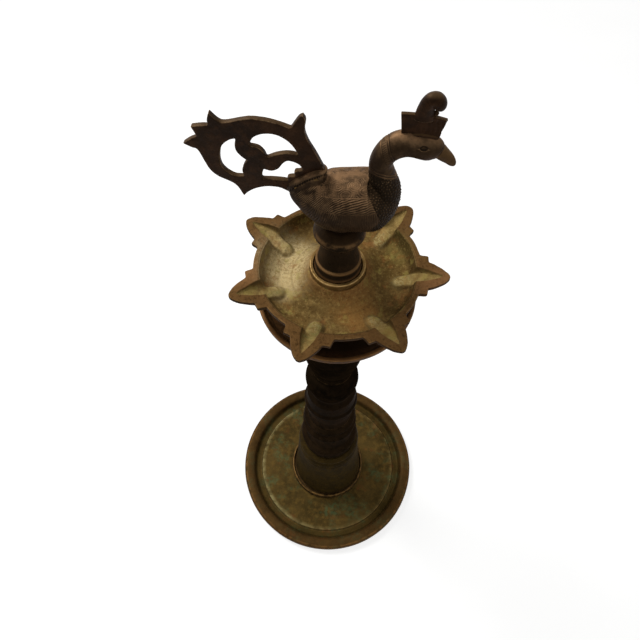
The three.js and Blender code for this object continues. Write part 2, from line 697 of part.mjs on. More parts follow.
function birdBody() {
  const cuff = CUFF_STATIONS.map(([along, up, share]) => [
    along, up, CUFF_HALF_WIDTH * share, CUFF_HALF_HEIGHT * share,
  ]);
  const foot = rod(BODY_FOOT_RADIUS, -BODY_ABOVE_SEAT, BODY_FOOT_DEPTH - BODY_ABOVE_SEAT);
  let body = solid(bodyForm(0)).add(solid(limb(cuff, 14))).add(solid(foot));
  for (const [forward, up] of [[0, -SEAT_GAP], [SEAT_GAP, 0], [-SEAT_GAP, 0]]) {
    const slot = plate(TAIL_OUTLINE, [], TAIL_THICKNESS + 2 * SEAT_GAP);
    body = body.subtract(solid(slot.translate(forward, 0, up)));
  }
  const socketDepth = TANG_ABOVE_KNOB + 2 * SEAT_GAP;
  const socket = BIRD_THREAD_CORE + SEAT_GAP;
  const socketTop = socketDepth - BODY_ABOVE_SEAT;
  body = body.subtract(solid(rod(socket, -BODY_ABOVE_SEAT - 1, socketTop)));
  for (const [along, up] of TAIL_PINS) {
    const hole = tailPin(TAIL_PIN_RADIUS + PIN_CLEARANCE, 4 * CUFF_HALF_WIDTH);
    body = body.subtract(solid(hole.translate(along, 0, up)));
  }
  return geometryOf(body);
}

function tailPlate() {
  let tail = solid(plate(TAIL_OUTLINE, TAIL_OPENINGS, TAIL_THICKNESS));
  for (const [along, up] of TAIL_PINS) {
    const hole = tailPin(TAIL_PIN_RADIUS + PIN_CLEARANCE, 4 * TAIL_THICKNESS);
    tail = tail.subtract(solid(hole.translate(along, 0, up)));
  }
  return geometryOf(tail);
}

const NECK_STATIONS = [
  [19.8, 13.5, 1.38],
  [18.4, 18, 1.25],
  [17.2, 22.5, 1.13],
  [16.4, 27, 1.02],
  [16.8, 30.6, 0.99],
  [18.2, 33.9, 1],
  [20.6, 36.7, 1.06],
  [24, 39, 1.12],
  [28.5, 39.5, 1.08],
  [33, 38.9, 1.12],
  [36.6, 38.2, 1.02],
  [39.4, 37, 0.8],
  [42, 35.2, 0.62],
  [44.4, 33.2, 0.46],
  [46.3, 31.2, 0.3],
  [47.4, 29.6, 0.12],
];

function neckForm(grow) {
  return roundLimb(NECK_STATIONS, BIRD_NECK_RADIUS, 14, grow);
}

function birdNeckAndHead() {
  return geometryOf(solid(neckForm(0)).subtract(solid(bodyForm(SEAT_GAP))));
}

const CREST_OUTLINE = [
  [23.4, 42.7], [22.2, 48.7], [21.6, 55.1], [26.2, 55.5], [26.6, 53.9], [36.2, 54.1], [40.6, 53.3],
  [40.4, 51.5], [39, 42.7],
];

function crestPlate() {
  const blank = solid(plate(CREST_OUTLINE, [], CREST_THICKNESS));
  return geometryOf(blank.subtract(solid(neckForm(SEAT_GAP))));
}

const CURL_STATIONS = [
  [28.8, 54.3, 0.84],
  [29.2, 58.1, 0.86],
  [30.2, 61.1, 1],
  [32.8, 62.5, 0.96],
  [35.2, 61.3, 0.84],
  [35.8, 58.9, 0.6],
];

function crestCurl() {
  const curl = solid(roundLimb(CURL_STATIONS, CURL_RADIUS, 12));
  const slot = plate(CREST_OUTLINE, [], CREST_THICKNESS + 2 * SEAT_GAP);
  return geometryOf(curl.subtract(solid(slot.translate(0, 0, SEAT_GAP))));
}

place("base_dish", baseDish(), 0, OLIVE_BRONZE);
place("base_stud", baseStud(), 0, DARK_BRONZE);
place("foot_cup", footCup(), CUP_Z, DARK_BRONZE);
place("stem_foot", stemFoot(), STEM_Z, DARK_BRONZE);
place("stem_shaft", stemShaft(), SHAFT_Z, DARK_BRONZE);
place("stem_drum", stemDrum(), DRUM_Z, DARK_BRONZE);
place("stem_knop", stemKnop(), KNOP_Z, DARK_BRONZE);
place("stem_capital", stemCapital(), CAPITAL_Z, DARK_BRONZE);
place("drip_dish", dripDish(), DRIP_Z, BROWN_BRONZE);
place("dish_hub", dishHub(), HUB_Z, BROWN_BRONZE);
place("star_dish", starDish(), STAR_Z, OLIVE_BRONZE);
place("finial_spool", finialSpool(), SPOOL_Z, DARK_BRONZE);
place("finial_knob", finialKnob(), KNOB_Z, DARK_BRONZE);
place("bird_tang", birdTang(), KNOB_Z, DARK_BRONZE);
place("bird_body", birdBody(), BIRD_Z, DARK_BRONZE);
place("bird_neck_and_head", birdNeckAndHead(), BIRD_Z, DARK_BRONZE);
place("crest_plate", crestPlate(), BIRD_Z, DARK_BRONZE);
place("crest_curl", crestCurl(), BIRD_Z, DARK_BRONZE);
place("tail_plate", tailPlate(), BIRD_Z, DARK_BRONZE);
TAIL_PINS.forEach(([along, up], i) => {
  const length = 2 * (CUFF_HALF_WIDTH - TAIL_PIN_SUNK);
  const pin = tailPin(TAIL_PIN_RADIUS, length).translate(along, 0, up);
  place(i === 0 ? "tail_pin_front" : "tail_pin_rear", pin, BIRD_Z, DARK_BRONZE);
});

export default lamp;
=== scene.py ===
import math

import bmesh
import bpy
import numpy as np
from mathutils import Matrix, Vector
from mathutils.kdtree import KDTree


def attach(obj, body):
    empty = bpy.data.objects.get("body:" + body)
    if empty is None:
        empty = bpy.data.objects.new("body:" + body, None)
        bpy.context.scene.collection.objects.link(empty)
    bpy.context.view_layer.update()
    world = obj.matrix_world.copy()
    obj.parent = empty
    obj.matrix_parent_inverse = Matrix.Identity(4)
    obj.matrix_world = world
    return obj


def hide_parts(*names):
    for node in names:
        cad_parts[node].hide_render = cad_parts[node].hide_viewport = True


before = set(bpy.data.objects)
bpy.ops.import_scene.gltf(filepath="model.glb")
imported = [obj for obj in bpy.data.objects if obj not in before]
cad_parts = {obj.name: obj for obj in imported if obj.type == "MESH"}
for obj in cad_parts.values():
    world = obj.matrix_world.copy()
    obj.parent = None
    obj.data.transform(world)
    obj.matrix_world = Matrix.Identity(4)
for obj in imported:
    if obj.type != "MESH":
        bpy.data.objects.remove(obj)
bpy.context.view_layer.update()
mm = 0.001

# Base dish
# A heavy round dish of cast bronze, turned on its face: a raised floor inside a channel and a
# broad rounded rim. It stands on a flat ring under the rim, and the stem's stud goes through it.
ROUND = 99  # an easing that takes in as much as the sides allow


def eased(corners, step=1):
    """A line through corners, each with its radius, height and easing in mm. A corner is rounded
    off over its easing, which is 0.5 if none is given. A line that starts on the axis is open."""
    closed = corners[0][0] > 0
    places = [np.array(corner[:2], float) for corner in corners]
    line = []
    for i, place in enumerate(places):
        if not closed and i in (0, len(places) - 1):
            line.append(place)
            continue
        ease = [*corners[i], 0.5][2]
        ways = places[i - 1] - place, places[(i + 1) % len(places)] - place
        start, end = [place + way * min(0.499, ease / np.linalg.norm(way)) for way in ways]
        bends = max(4, int(np.linalg.norm(end - start) / step))
        for t in np.linspace(0, 1, bends + 1):
            line.append((1 - t) ** 2 * start + 2 * t * (1 - t) * place + t * t * end)
    filled = line[:1]
    for point in line[1:] + (line[:1] if closed else []):
        way = point - filled[-1]
        gap = np.linalg.norm(way)
        if gap > 1e-6:
            parts = max(1, round(gap / step))
            filled += [filled[-1] + way * k / parts for k in range(1, parts + 1)]
    return np.array(filled[:-1] if closed else filled)


def unevenness(points, size, seed):
    """A smooth value from about -1 to 1 that changes over size, as on a casting made by hand."""
    draw = np.random.default_rng(seed)
    total = np.zeros(len(points))
    for _ in range(9):
        way = draw.normal(size=3)
        way *= 2 * math.pi / size * draw.uniform(0.6, 1.4) / np.linalg.norm(way)
        total += np.sin(points @ way + draw.uniform(0, 2 * math.pi))
    return total / 3


def neighbours(mesh):
    """The first and the second point of each edge."""
    ends = np.empty(len(mesh.edges) * 2, np.int32)
    mesh.edges.foreach_get("vertices", ends)
    return ends.reshape(-1, 2).T


def places_of(mesh, what="co"):
    """The place (or another measure) of each point, in metres."""
    found = np.empty(len(mesh.vertices) * 3, np.float32)
    mesh.vertices.foreach_get(what, found)
    return found.reshape(-1, 3).astype(float)


def gathered(ends, first, second, size):
    """The sum over each point's edges of what each edge brings to its first and second end."""
    return np.bincount(ends[0], first, size) + np.bincount(ends[1], second, size)


def spread(values, ends, rounds):
    """Each value moved towards the mean of its neighbours, so many times over."""
    a, b = ends
    count = np.maximum(gathered(ends, None, None, len(values)), 1)
    for _ in range(rounds):
        values = 0.5 * values + 0.5 * gathered(ends, values[b], values[a], len(values)) / count
    return values


def keep(mesh, name, values):
    """Stores a value for each point, for the finishes to read."""
    attribute = mesh.attributes.new(name, "FLOAT", "POINT")
    attribute.data.foreach_set("value", values.astype(np.float32))


def mark_edges(mesh, rounds=3, gain=1.6):
    """Keeps how far the surface stands out (worn), turns in (hollow) and faces up (upward) as
    attributes from 0 to 1."""
    points = places_of(mesh) / mm
    out = places_of(mesh, "normal")
    ends = a, b = neighbours(mesh)
    run = points[b] - points[a]
    far = np.maximum((run**2).sum(1), 1e-4)
    at_a, at_b = -(out[a] * run).sum(1) / far, (out[b] * run).sum(1) / far
    count = np.maximum(gathered(ends, None, None, len(points)), 1)
    bend = spread(gathered(ends, at_a, at_b, len(points)) / count, ends, rounds)
    keep(mesh, "worn", np.tanh(np.maximum(bend, 0) * gain))
    keep(mesh, "hollow", np.tanh(np.maximum(-bend, 0) * gain))
    keep(mesh, "upward", np.clip(out[:, 2], 0, 1))


def raw_mesh(name, points, faces):
    """A mesh from points in mm."""
    mesh = bpy.data.meshes.new(name)
    mesh.from_pydata((np.asarray(points) * mm).tolist(), [], faces)
    return mesh


def mesh_of(name, points, faces):
    """A closed mesh from points in mm, smooth, its faces turned outwards."""
    mesh = raw_mesh(name, points, faces)
    shell = bmesh.new()
    shell.from_mesh(mesh)
    bmesh.ops.recalc_face_normals(shell, faces=shell.faces)
    shell.to_mesh(mesh)
    shell.free()
    mesh.shade_smooth()
    return mesh


def placed(name, data):
    """A new object in the scene, at the origin."""
    piece = bpy.data.objects.new(name, data)
    bpy.context.scene.collection.objects.link(piece)
    return piece


def settle(mesh, body, node, material):
    """Makes the piece from its mesh, in its finish, in place of its CAD node if it has one."""
    piece = placed(mesh.name, mesh)
    mesh.materials.clear()
    mesh.materials.append(material)
    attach(piece, body)
    if node:
        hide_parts(node)


def quads(rings, sides, joined=False):
    """Faces between rings of points, each ring closed, and the last joined to the first if so."""
    faces = []
    for i in range(rings if joined else rings - 1):
        here, there = i * sides, (i + 1) % rings * sides
        for j in range(sides):
            k = (j + 1) % sides
            faces.append((here + j, here + k, there + k, there + j))
    return faces


def turn_piece(body, node, material, corners, seed, sides=180, rough=0.08):
    """Turns a piece about the stem's axis from the corners of its outline, a little uneven, and
    puts it in place of its CAD node."""
    line = eased(corners)
    solid = corners[0][0] <= 0
    inner = line[1:-1] if solid else line
    turns = np.arange(sides) * 2 * math.pi / sides
    flat = np.outer(inner[:, 0], np.cos(turns)), np.outer(inner[:, 0], np.sin(turns))
    points = np.stack([*flat, np.repeat(inner[:, 1:], sides, axis=1)], axis=2).reshape(-1, 3)
    faces = quads(len(inner), sides, joined=not solid)
    if solid:
        poles = [(0, 0, line[0, 1]), (0, 0, line[-1, 1])]
        end, first, last = len(points) - sides, len(points), len(points) + 1
        points = np.vstack([points, poles])
        for j in range(sides):
            k = (j + 1) % sides
            faces += [(first, k, j), (last, end + j, end + k)]
    round_part = points[:, :2] / np.maximum(np.linalg.norm(points[:, :2], axis=1), 1e-6)[:, None]
    waver = unevenness(points, 46, seed) * rough + unevenness(points, 13, seed + 1) * rough * 0.35
    points[:, :2] += round_part * waver[:, None]
    points[:, 2] += unevenness(points, 38, seed + 2) * rough * 0.7
    points[:, 2] = np.clip(points[:, 2], line[:, 1].min(), line[:, 1].max())
    mesh = mesh_of(node + "_turned", points, faces)
    mark_edges(mesh)
    settle(mesh, body, node, material)


class Field:
    """A value that changes over a surface. Sums on it add their own Math nodes."""

    def __init__(self, graph, socket):
        self.graph = graph
        self.socket = socket

    def sum(self, operation, *others):
        values = dict(enumerate((self, *others)))
        return self.graph.add("ShaderNodeMath", values, operation=operation)

    def __add__(self, other):
        return self.sum("ADD", other)

    def __mul__(self, other):
        return self.sum("MULTIPLY", other)

    def __sub__(self, other):
        return self.sum("SUBTRACT", other)

    def __truediv__(self, other):
        return self.sum("DIVIDE", other)

    def __rsub__(self, other):
        return self.graph.add("ShaderNodeMath", {0: other, 1: self}, operation="SUBTRACT")

    __radd__ = __add__
    __rmul__ = __mul__

    def band(self, low, high):
        """0 below low and 1 above high, with a soft step between."""
        values = {0: self, 1: low, 2: high}
        return self.graph.add("ShaderNodeMapRange", values, interpolation_type="SMOOTHSTEP")

    def fade(self, low, high):
        """1 below low and 0 above high, with a soft step between."""
        return 1 - self.band(low, high)

    def strip(self, low, full, still, high):
        """0 up to low, 1 from full to still and 0 again from high, with soft steps between."""
        return self.band(low, full) * self.fade(still, high)


class Graph:
    """The nodes of one tree, each made with its settings and its inputs in one call."""

    def __init__(self, tree):
        self.tree = tree
        tree.nodes.clear()

    def add(self, kind, values, output=0, **settings):
        node = self.tree.nodes.new(kind)
        for key, value in settings.items():
            setattr(node, key, value)
        for key, value in values.items():
            if isinstance(value, Field):
                self.tree.links.new(value.socket, node.inputs[key])
            else:
                node.inputs[key].default_value = value
        return Field(self, node.outputs[output]) if node.outputs else None


class Paint(Graph):
    """The node material of one finish."""

    def __init__(self, name):
        self.material = bpy.data.materials.new(name)
        self.material.use_nodes = True
        super().__init__(self.material.node_tree)
        self.coordinates = self.add("ShaderNodeTexCoord", {}, "Object")

    def along(self, axis):
        """The place along one axis, in mm."""
        return self.add("ShaderNodeSeparateXYZ", {0: self.coordinates}, axis) * (1 / mm)

    def reach(self, x=0, y=0):
        """How far a place lies, seen from above, from the stem's axis or another place, in mm."""
        dx, dy = self.along("X") - x, self.along("Y") - y
        return (dx * dx + dy * dy).sum("SQRT")

    def noise(self, size, detail, seed, stretch=(1, 1, 1), roughness=0.55):
        """A cloudy value about 0.5, whose clouds are about size mm across."""
        scale = [1 / (size * mm * s) for s in stretch]
        moved = {"Vector": self.coordinates, "Scale": scale, "Location": (seed, seed * 0.7, 3)}
        mapped = self.add("ShaderNodeMapping", moved)
        values = {"Vector": mapped, "Scale": 1, "Detail": detail, "Roughness": roughness}
        return self.add("ShaderNodeTexNoise", values)

    def attribute(self, name):
        return self.add("ShaderNodeAttribute", {}, "Fac", attribute_name=name)

    def mix(self, share, below, above):
        colours = {0: share, 6: below, 7: above}
        return self.add("ShaderNodeMix", colours, 2, data_type="RGBA", clamp_factor=True)

    def bump(self, height, distance, normal=None):
        values = {"Height": height, "Distance": distance * mm, "Strength": 1}
        if normal:
            values["Normal"] = normal
        return self.add("ShaderNodeBump", values)

    def finish(self, colour, roughness, metallic, normal, gloss=0.1):
        values = {
            "Base Color": colour,
            "Roughness": roughness,
            "Metallic": metallic,
            "Normal": normal,
            "Specular IOR Level": gloss,
            "Specular Tint": tone("b49a78"),
        }
        surface = self.add("ShaderNodeBsdfPrincipled", values)
        self.add("ShaderNodeOutputMaterial", {"Surface": surface})
        return self.material


def tone(code):
    """A colour from its six-figure code."""
    parts = [int(code[i : i + 2], 16) / 255 for i in (0, 2, 4)]
    return [c / 12.92 if c < 0.04045 else ((c + 0.055) / 1.055) ** 2.4 for c in parts] + [1]


class Bronze(Paint):
    """Old bronze: a mottled brown skin, dark dirt in its hollows and bare metal on its edges. What
    faces up is a little lighter, partly as handled and wiped metal and partly as painted light from
    above. Its tones are the dark, the middle and the light of the skin, the worn metal and the
    dirt."""

    def __init__(self, name, tones, seed, wear=0.8, dirt=0.9, top=0.3):
        super().__init__(name)
        dark, middle, light, worn, soot = [tone(code) for code in tones.split()]
        self.clouds = self.noise(26, 5, seed)
        self.mottle = self.noise(5, 6, seed + 4, roughness=0.62)
        self.grain = self.noise(1.1, 4, seed + 9)
        self.pores = self.noise(2.3, 3, seed + 15, roughness=0.7).band(0.6, 0.74)
        self.worn = self.attribute("worn")
        self.hollow = self.attribute("hollow")
        self.upward = self.attribute("upward")
        skin = self.mix(self.clouds.band(0.36, 0.64), dark, middle)
        skin = self.mix(self.mottle.band(0.42, 0.72) * 0.75, skin, light)
        # Faces that look up are painted lighter by top: partly wiped metal, partly painted light
        # from above
        skin = self.mix(self.upward.band(0.25, 0.95) * self.mottle * top * 2, skin, light)
        skin = self.mix(self.grain.band(0.52, 0.75) * 0.45, skin, dark)
        skin = self.mix(self.pores * 0.55, skin, soot)
        dirty = self.hollow.band(0.1, 0.65) * (self.mottle * 0.6 + 0.6) * dirt
        skin = self.mix(dirty, skin, soot)
        self.rubbed = self.worn.band(0.16, 0.75) * self.mottle.band(0.34, 0.6) * wear
        self.skin = self.mix(self.rubbed, skin, worn)
        self.normal = None

    def patch(self, mask, code):
        """Colours the skin where the mask is above 0."""
        self.skin = self.mix(mask, self.skin, tone(code))

    def tool_rings(self, spacing, depth=0.05):
        """Fine uneven rings about the stem's axis, left by the turning tool."""
        scaled = {0: self.reach() / spacing, 2: self.along("Z") / spacing}
        place = self.add("ShaderNodeCombineXYZ", scaled)
        values = {"Vector": place, "Scale": 1, "Detail": 3, "Roughness": 0.6}
        self.rings = self.add("ShaderNodeTexNoise", values)
        self.normal = self.bump(self.rings, depth)

    def done(self, roughness, metallic=0.35, pits=0.18, gloss=0.1):
        rough = self.mottle * 0.3 + (roughness - 0.15) - self.rubbed * 0.12 + self.pores * 0.2
        metal = self.clouds * 0.2 + self.rubbed * 0.4 + (metallic - 0.1)
        normal = self.bump(self.mottle, pits * 1.4, self.normal)
        normal = self.bump(self.grain - self.pores * 0.8, pits * 0.5, normal)
        return self.finish(self.skin, rough, metal, normal, gloss)


base = Bronze("base_patina", "352b14 4f3f20 685127 8a6438 221c0e", seed=2, top=0.15)
verdigris = base.noise(17, 5, 31).band(0.48, 0.64) * base.noise(3, 4, 37).band(0.3, 0.7)
base.patch(verdigris * 0.55, "4b6040")
rust = base.noise(13, 5, 51).band(0.55, 0.7) * base.noise(4, 4, 57).band(0.3, 0.7)
base.patch(rust * 0.6, "6e4322")
from_axis = base.reach()
base.patch(from_axis.band(76.5, 79.5) * (base.mottle * 0.5 + 0.25), "4a301a")
# The floor's rounded edge is painted lighter, more on the left: partly wear, partly a painted
# highlight from the key light
floor_edge = from_axis.strip(66, 69.8, 70.6, 71.4)
to_the_left = (base.along("X") * -1 + 20).band(0, 70)
worn_and_lit = base.mottle.band(0.38, 0.62) * 0.6 + base.clouds.band(0.4, 0.6) * 0.4
base.patch(floor_edge * (to_the_left * 0.7 + 0.2) * worn_and_lit, "8f8458")
in_groove = from_axis.strip(71.5, 73, 77, 79)
base.patch(in_groove * (base.mottle * 0.5 + 0.2), "33280f")
base.tool_rings(1.3)
base_patina = base.done(0.5, 0.25)

turn_piece("base", "base_dish", base_patina, [
    (7.8, 5.8, 0.3), (69.4, 6, 1), (70.3, 6.1), (71.2, 4.6, 0.6), (77, 4.5, 1.6), (79, 9.9, 1),
    (81, 11, 2), (85.6, 11.5, 2.5), (89, 10.4, 2.2), (89.5, 7, 2), (89, 3.4, 2), (84, 0, 1.2),
    (70.6, 0, 0.6), (67.4, 3, 1), (7.8, 3, 0.3),
], sides=240, seed=3)

# Foot cup
# A shallow cast ring that stands on the base dish and takes the stem's foot.
cup_patina = Bronze("cup_patina", "2c2112 4a3820 5f482a 94703f 1c160c", seed=11).done(0.48)
turn_piece("foot_ring", "foot_cup", cup_patina, [
    (9.8, 6.1, 0.3), (38, 6.1), (37.9, 9.6, 0.9), (37.3, 11.2, 0.9), (35.6, 11.2, 0.8),
    (35.4, 8.6, 0.4), (9.8, 8.6, 0.3),
], sides=200, rough=0.16, seed=12)

# Stem
# Five hollow castings, turned with beads and waists, that stand on each other with spigots: a
# tapered foot, a shaft, a drum, a round knop and a trumpet that carries the dishes.
stem = Bronze("stem_patina", "130e08 20170d 302316 584229 0a0704", seed=21, top=0.5)
# Painted shade: the stem darkens from 150 mm up, under the dishes
stem.patch(stem.along("Z").band(150, 240) * (stem.mottle * 0.4 + 0.3), "0a0705")
stem.tool_rings(0.9)
stem_patina = stem.done(0.6, 0.22, gloss=0.012)

# A darker copy of the stem's finish for the knop and the capital: painted shade under the dishes
shaded_stem = Bronze("shaded_stem_patina", "100c07 1a130b 281d12 4a3723 080604", seed=22, top=0.4)
shaded_stem.tool_rings(0.9)
shaded_stem_patina = shaded_stem.done(0.78, 0.08, gloss=0)

foot = Bronze("foot_patina", "1e170c 302510 403114 6b5530 110d06", seed=25, top=0.4)
foot.tool_rings(1.1)
foot_patina = foot.done(0.6, 0.12)

turn_piece("stem", "stem_foot", foot_patina, [
    (11, 8.9, 0.3), (32.8, 8.9, 0.6), (34, 11.6, 1.2), (33.2, 24, ROUND), (30.2, 56, ROUND),
    (28, 76.3, 0.8), (25.7, 77.4), (25.8, 78.9), (29.4, 81.6, ROUND), (27, 84.4), (25.2, 85.4),
    (25.2, 88.8), (29.4, 92.2, ROUND), (25, 95.5), (11, 95.5, 0.3),
], rough=0.17, seed=22)

turn_piece("stem", "stem_shaft", stem_patina, [
    (11, 95.8, 0.3), (23.8, 95.8), (24, 107.8, 0.6), (26, 110.5, ROUND), (24, 113.2),
    (21.8, 114.6, ROUND), (21, 115.8), (19.2, 126, ROUND), (20.6, 136, 0.6), (24.4, 139.5, ROUND),
    (20.6, 143), (19, 144), (19, 147.6), (23.4, 151.8, ROUND), (19, 156), (11, 156, 0.3),
], rough=0.17, seed=24)

turn_piece("stem", "stem_drum", stem_patina, [
    (11, 156.3, 0.3), (18.6, 156.3), (16.5, 164.2, ROUND), (18.4, 172.1), (19.6, 172.7),
    (20, 183.3), (22, 186.3, ROUND), (20, 189.3), (19.4, 201.3, 0.6), (17.3, 203.3, ROUND),
    (16.4, 205.3), (16.2, 209), (18, 211, ROUND), (16.2, 213), (11, 213, 0.3),
], rough=0.17, seed=27)

turn_piece("stem", "stem_knop", shaded_stem_patina, [
    (11, 213.3, 0.3), (14.4, 213.3), (19.4, 217.6, ROUND), (20.6, 226, ROUND), (18.6, 234, ROUND),
    (15, 237.2, 0.6), (15, 239.7, 0.4), (11, 239.7, 0.3),
], rough=0.17, seed=29)

turn_piece("stem", "stem_capital", shaded_stem_patina, [
    (11, 240, 0.3), (15, 240, 0.3), (15, 243, 0.4), (16.2, 245, ROUND), (15, 247, 0.4),
    (15.5, 247.6, 0.4), (18.2, 254, ROUND), (20.5, 265, ROUND), (23, 285, ROUND),
    (26.2, 305, ROUND), (30, 320.6, 0.8), (31.4, 322.8, ROUND), (31, 324.9), (27.4, 324.9),
    (17, 294, 0.8), (13, 293.2, 0.8), (13, 324.9, 0.4), (11, 324.9, 0.3),
], rough=0.14, seed=31)

# Drip dish
# A plain round dish, cast and turned, clamped between the stem's top and the dish hub.
drip = Bronze("drip_patina", "3a2816 553b21 724f2b 96703f 1c130a", seed=41)
# Painted shade: the drip dish's floor darkens under the star dish
drip.patch(drip.reach().fade(34, 43) * (drip.mottle * 0.4 + 0.6), "20160c")
# Painted light on the top of the drip dish's rim
drip.patch(drip.reach().band(43.5, 46) * drip.upward * 0.6, "7d5836")
drip.tool_rings(1.2)
drip_patina = drip.done(0.52, 0.2)
turn_piece("drip_tray", "drip_dish", drip_patina, [
    (9.8, 325.3, 0.3), (30, 325.3, 1.2), (41, 329.6, ROUND), (46.4, 335, ROUND), (47, 340, 0.9),
    (44.6, 340.2, 0.9), (43.4, 335, ROUND), (38.6, 330.6, ROUND), (30, 328.3, 1.5),
    (9.8, 328.3, 0.3),
], sides=220, rough=0.12, seed=42)

# Dish hub
# The turned pedestal under the star dish, whose collar rises through the dish and holds the
# spool. Its lower tang screws into the stem.
gold_tones = "5f4824 7d6033 96774a c2a06a 3a2a14"
collar_patina = Bronze("collar_patina", gold_tones, seed=61).done(0.45)
turn_piece("oil_dish", "dish_hub", collar_patina, [
    (0, 313), (7.6, 313, 0.6), (7.6, 328.6, 0.3), (14, 328.6, 0.4), (14, 331, 0.8),
    (8.4, 338, ROUND), (13.6, 344, 0.8), (19, 347.2), (19, 350.1, 0.4), (15.7, 350.2, 0.2),
    (15.7, 366), (15.2, 366.6, 0.4), (13.9, 366.6, 0.4), (13.5, 366, 0.4), (13.5, 362.1, 0.3),
    (0, 362.1),
], seed=62)

# The thread on the tang runs three turns of 3 mm and fades out at both ends
steps_a_turn, thread_turns, pitch, thread_start = 48, 3, 3, 314.5
steps = np.arange(thread_turns * steps_a_turn + 1)
ridge_points = []
for step, grown in zip(steps, np.clip(np.minimum(steps, steps[::-1]) / 12, 0, 1)):
    turn = 2 * math.pi * step / steps_a_turn
    crest = 7.5 + 1.2 * grown
    for r, z in [(7.3, -0.9), (crest, -0.25), (crest, 0.25), (7.3, 0.9)]:
        up = thread_start + pitch * step / steps_a_turn + z
        ridge_points.append((r * math.cos(turn), r * math.sin(turn), up))
ridge_ends = [(0, 1, 2, 3), tuple(len(ridge_points) - 1 - k for k in range(4))]
hub_thread = mesh_of("hub_thread_cut", ridge_points, ridge_ends + quads(len(steps), 4))
mark_edges(hub_thread)
settle(hub_thread, "oil_dish", None, collar_patina)

# Star dish
# The oil dish: a shallow pan with a cone at its middle and seven flat spouts round its rim, each
# with square barbs and a wick channel that runs down into the pan. It is one casting.
SPOUTS = 7
RIM_TOP = 364.4
COLLAR = 15.9
PAN_EDGE = 44.6
pan_line = eased([
    (0, 363.5), (16.4, 363.5, 1), (18.4, 359.8, ROUND), (24, 355.2, ROUND), (30, 353.5, ROUND),
    (37.5, 353.9, ROUND), (42.2, 357.6, ROUND), (43.4, 363.6, 0.8), (43.9, RIM_TOP, 0.4),
    (70, RIM_TOP),
], 0.5)
under_line = eased([
    (0, 350.5), (35, 350.5, 4), (42.6, 353.6, ROUND), (44.6, 359, ROUND), (44.9, 361.9, 0.6),
    (70, 361.9),
], 0.5)
spout_edge = np.array([
    (62.7, 0), (62.5, 1.1), (61.4, 2.7), (59.6, 4.4), (56.6, 6.3), (53.6, 7.8), (51, 8.8),
    (50.6, 9.2), (50.3, 10.6), (50.1, 12.6), (49.7, 13), (46.6, 13.2), (45.2, 13.6),
])


def edge_reach(turn):
    """How far the dish reaches at an angle from a spout's middle, in radians."""
    turns = np.arctan2(spout_edge[:, 1], spout_edge[:, 0])
    reach = np.hypot(spout_edge[:, 0], spout_edge[:, 1])
    order = np.argsort(turns)
    return np.interp(np.abs(turn), turns[order], reach[order])


def step_between(low, high, value):
    """0 below low and 1 above high, with a soft step between."""
    share = np.clip((value - low) / (high - low), 0, 1)
    return share * share * (3 - 2 * share)


def strip(value, low, full, still, high):
    """0 up to low, 1 from full to still and 0 again from high, with soft steps between."""
    return step_between(low, full, value) * (1 - step_between(still, high, value))


def stretches(stops, counts):
    """Places from the first stop to the last, with so many even steps from each to the next."""
    parts = [np.linspace(a, b, n + 1)[:-1] for a, b, n in zip(stops, stops[1:], counts)]
    return np.concatenate([*parts, stops[-1:]])


def channel(along, across):
    """Where the wick channel is (0 to 1), and the height of its floor."""
    stops = [34, 42, 46, 50, 53.7, 56.2, 57.8]
    half = np.interp(along, stops, [4.3, 4.3, 4.1, 3.4, 2.1, 1.3, 0.5])
    end = np.clip((36.5 - along) / 5.5, 0, None)
    stops = [31, 33, 44, 53.7, 57.4, 58.4]
    floor = np.interp(along, stops, [355.4, 355.8, 359.6, 362.4, 363.6, 364.4])
    crown = np.interp(along, [32, 41, 45], [-1.5, -0.8, 0.7])
    floor = floor + crown * np.minimum((across / half) ** 2 + end**2, 1.5)
    soft = np.interp(along, [33, 44, 50], [1.5, 0.9, 0.4])
    inside = step_between(-soft, soft, half * (1 - np.hypot(across / half, end)))
    return inside * (1 - step_between(57.6, 58.6, along)), floor


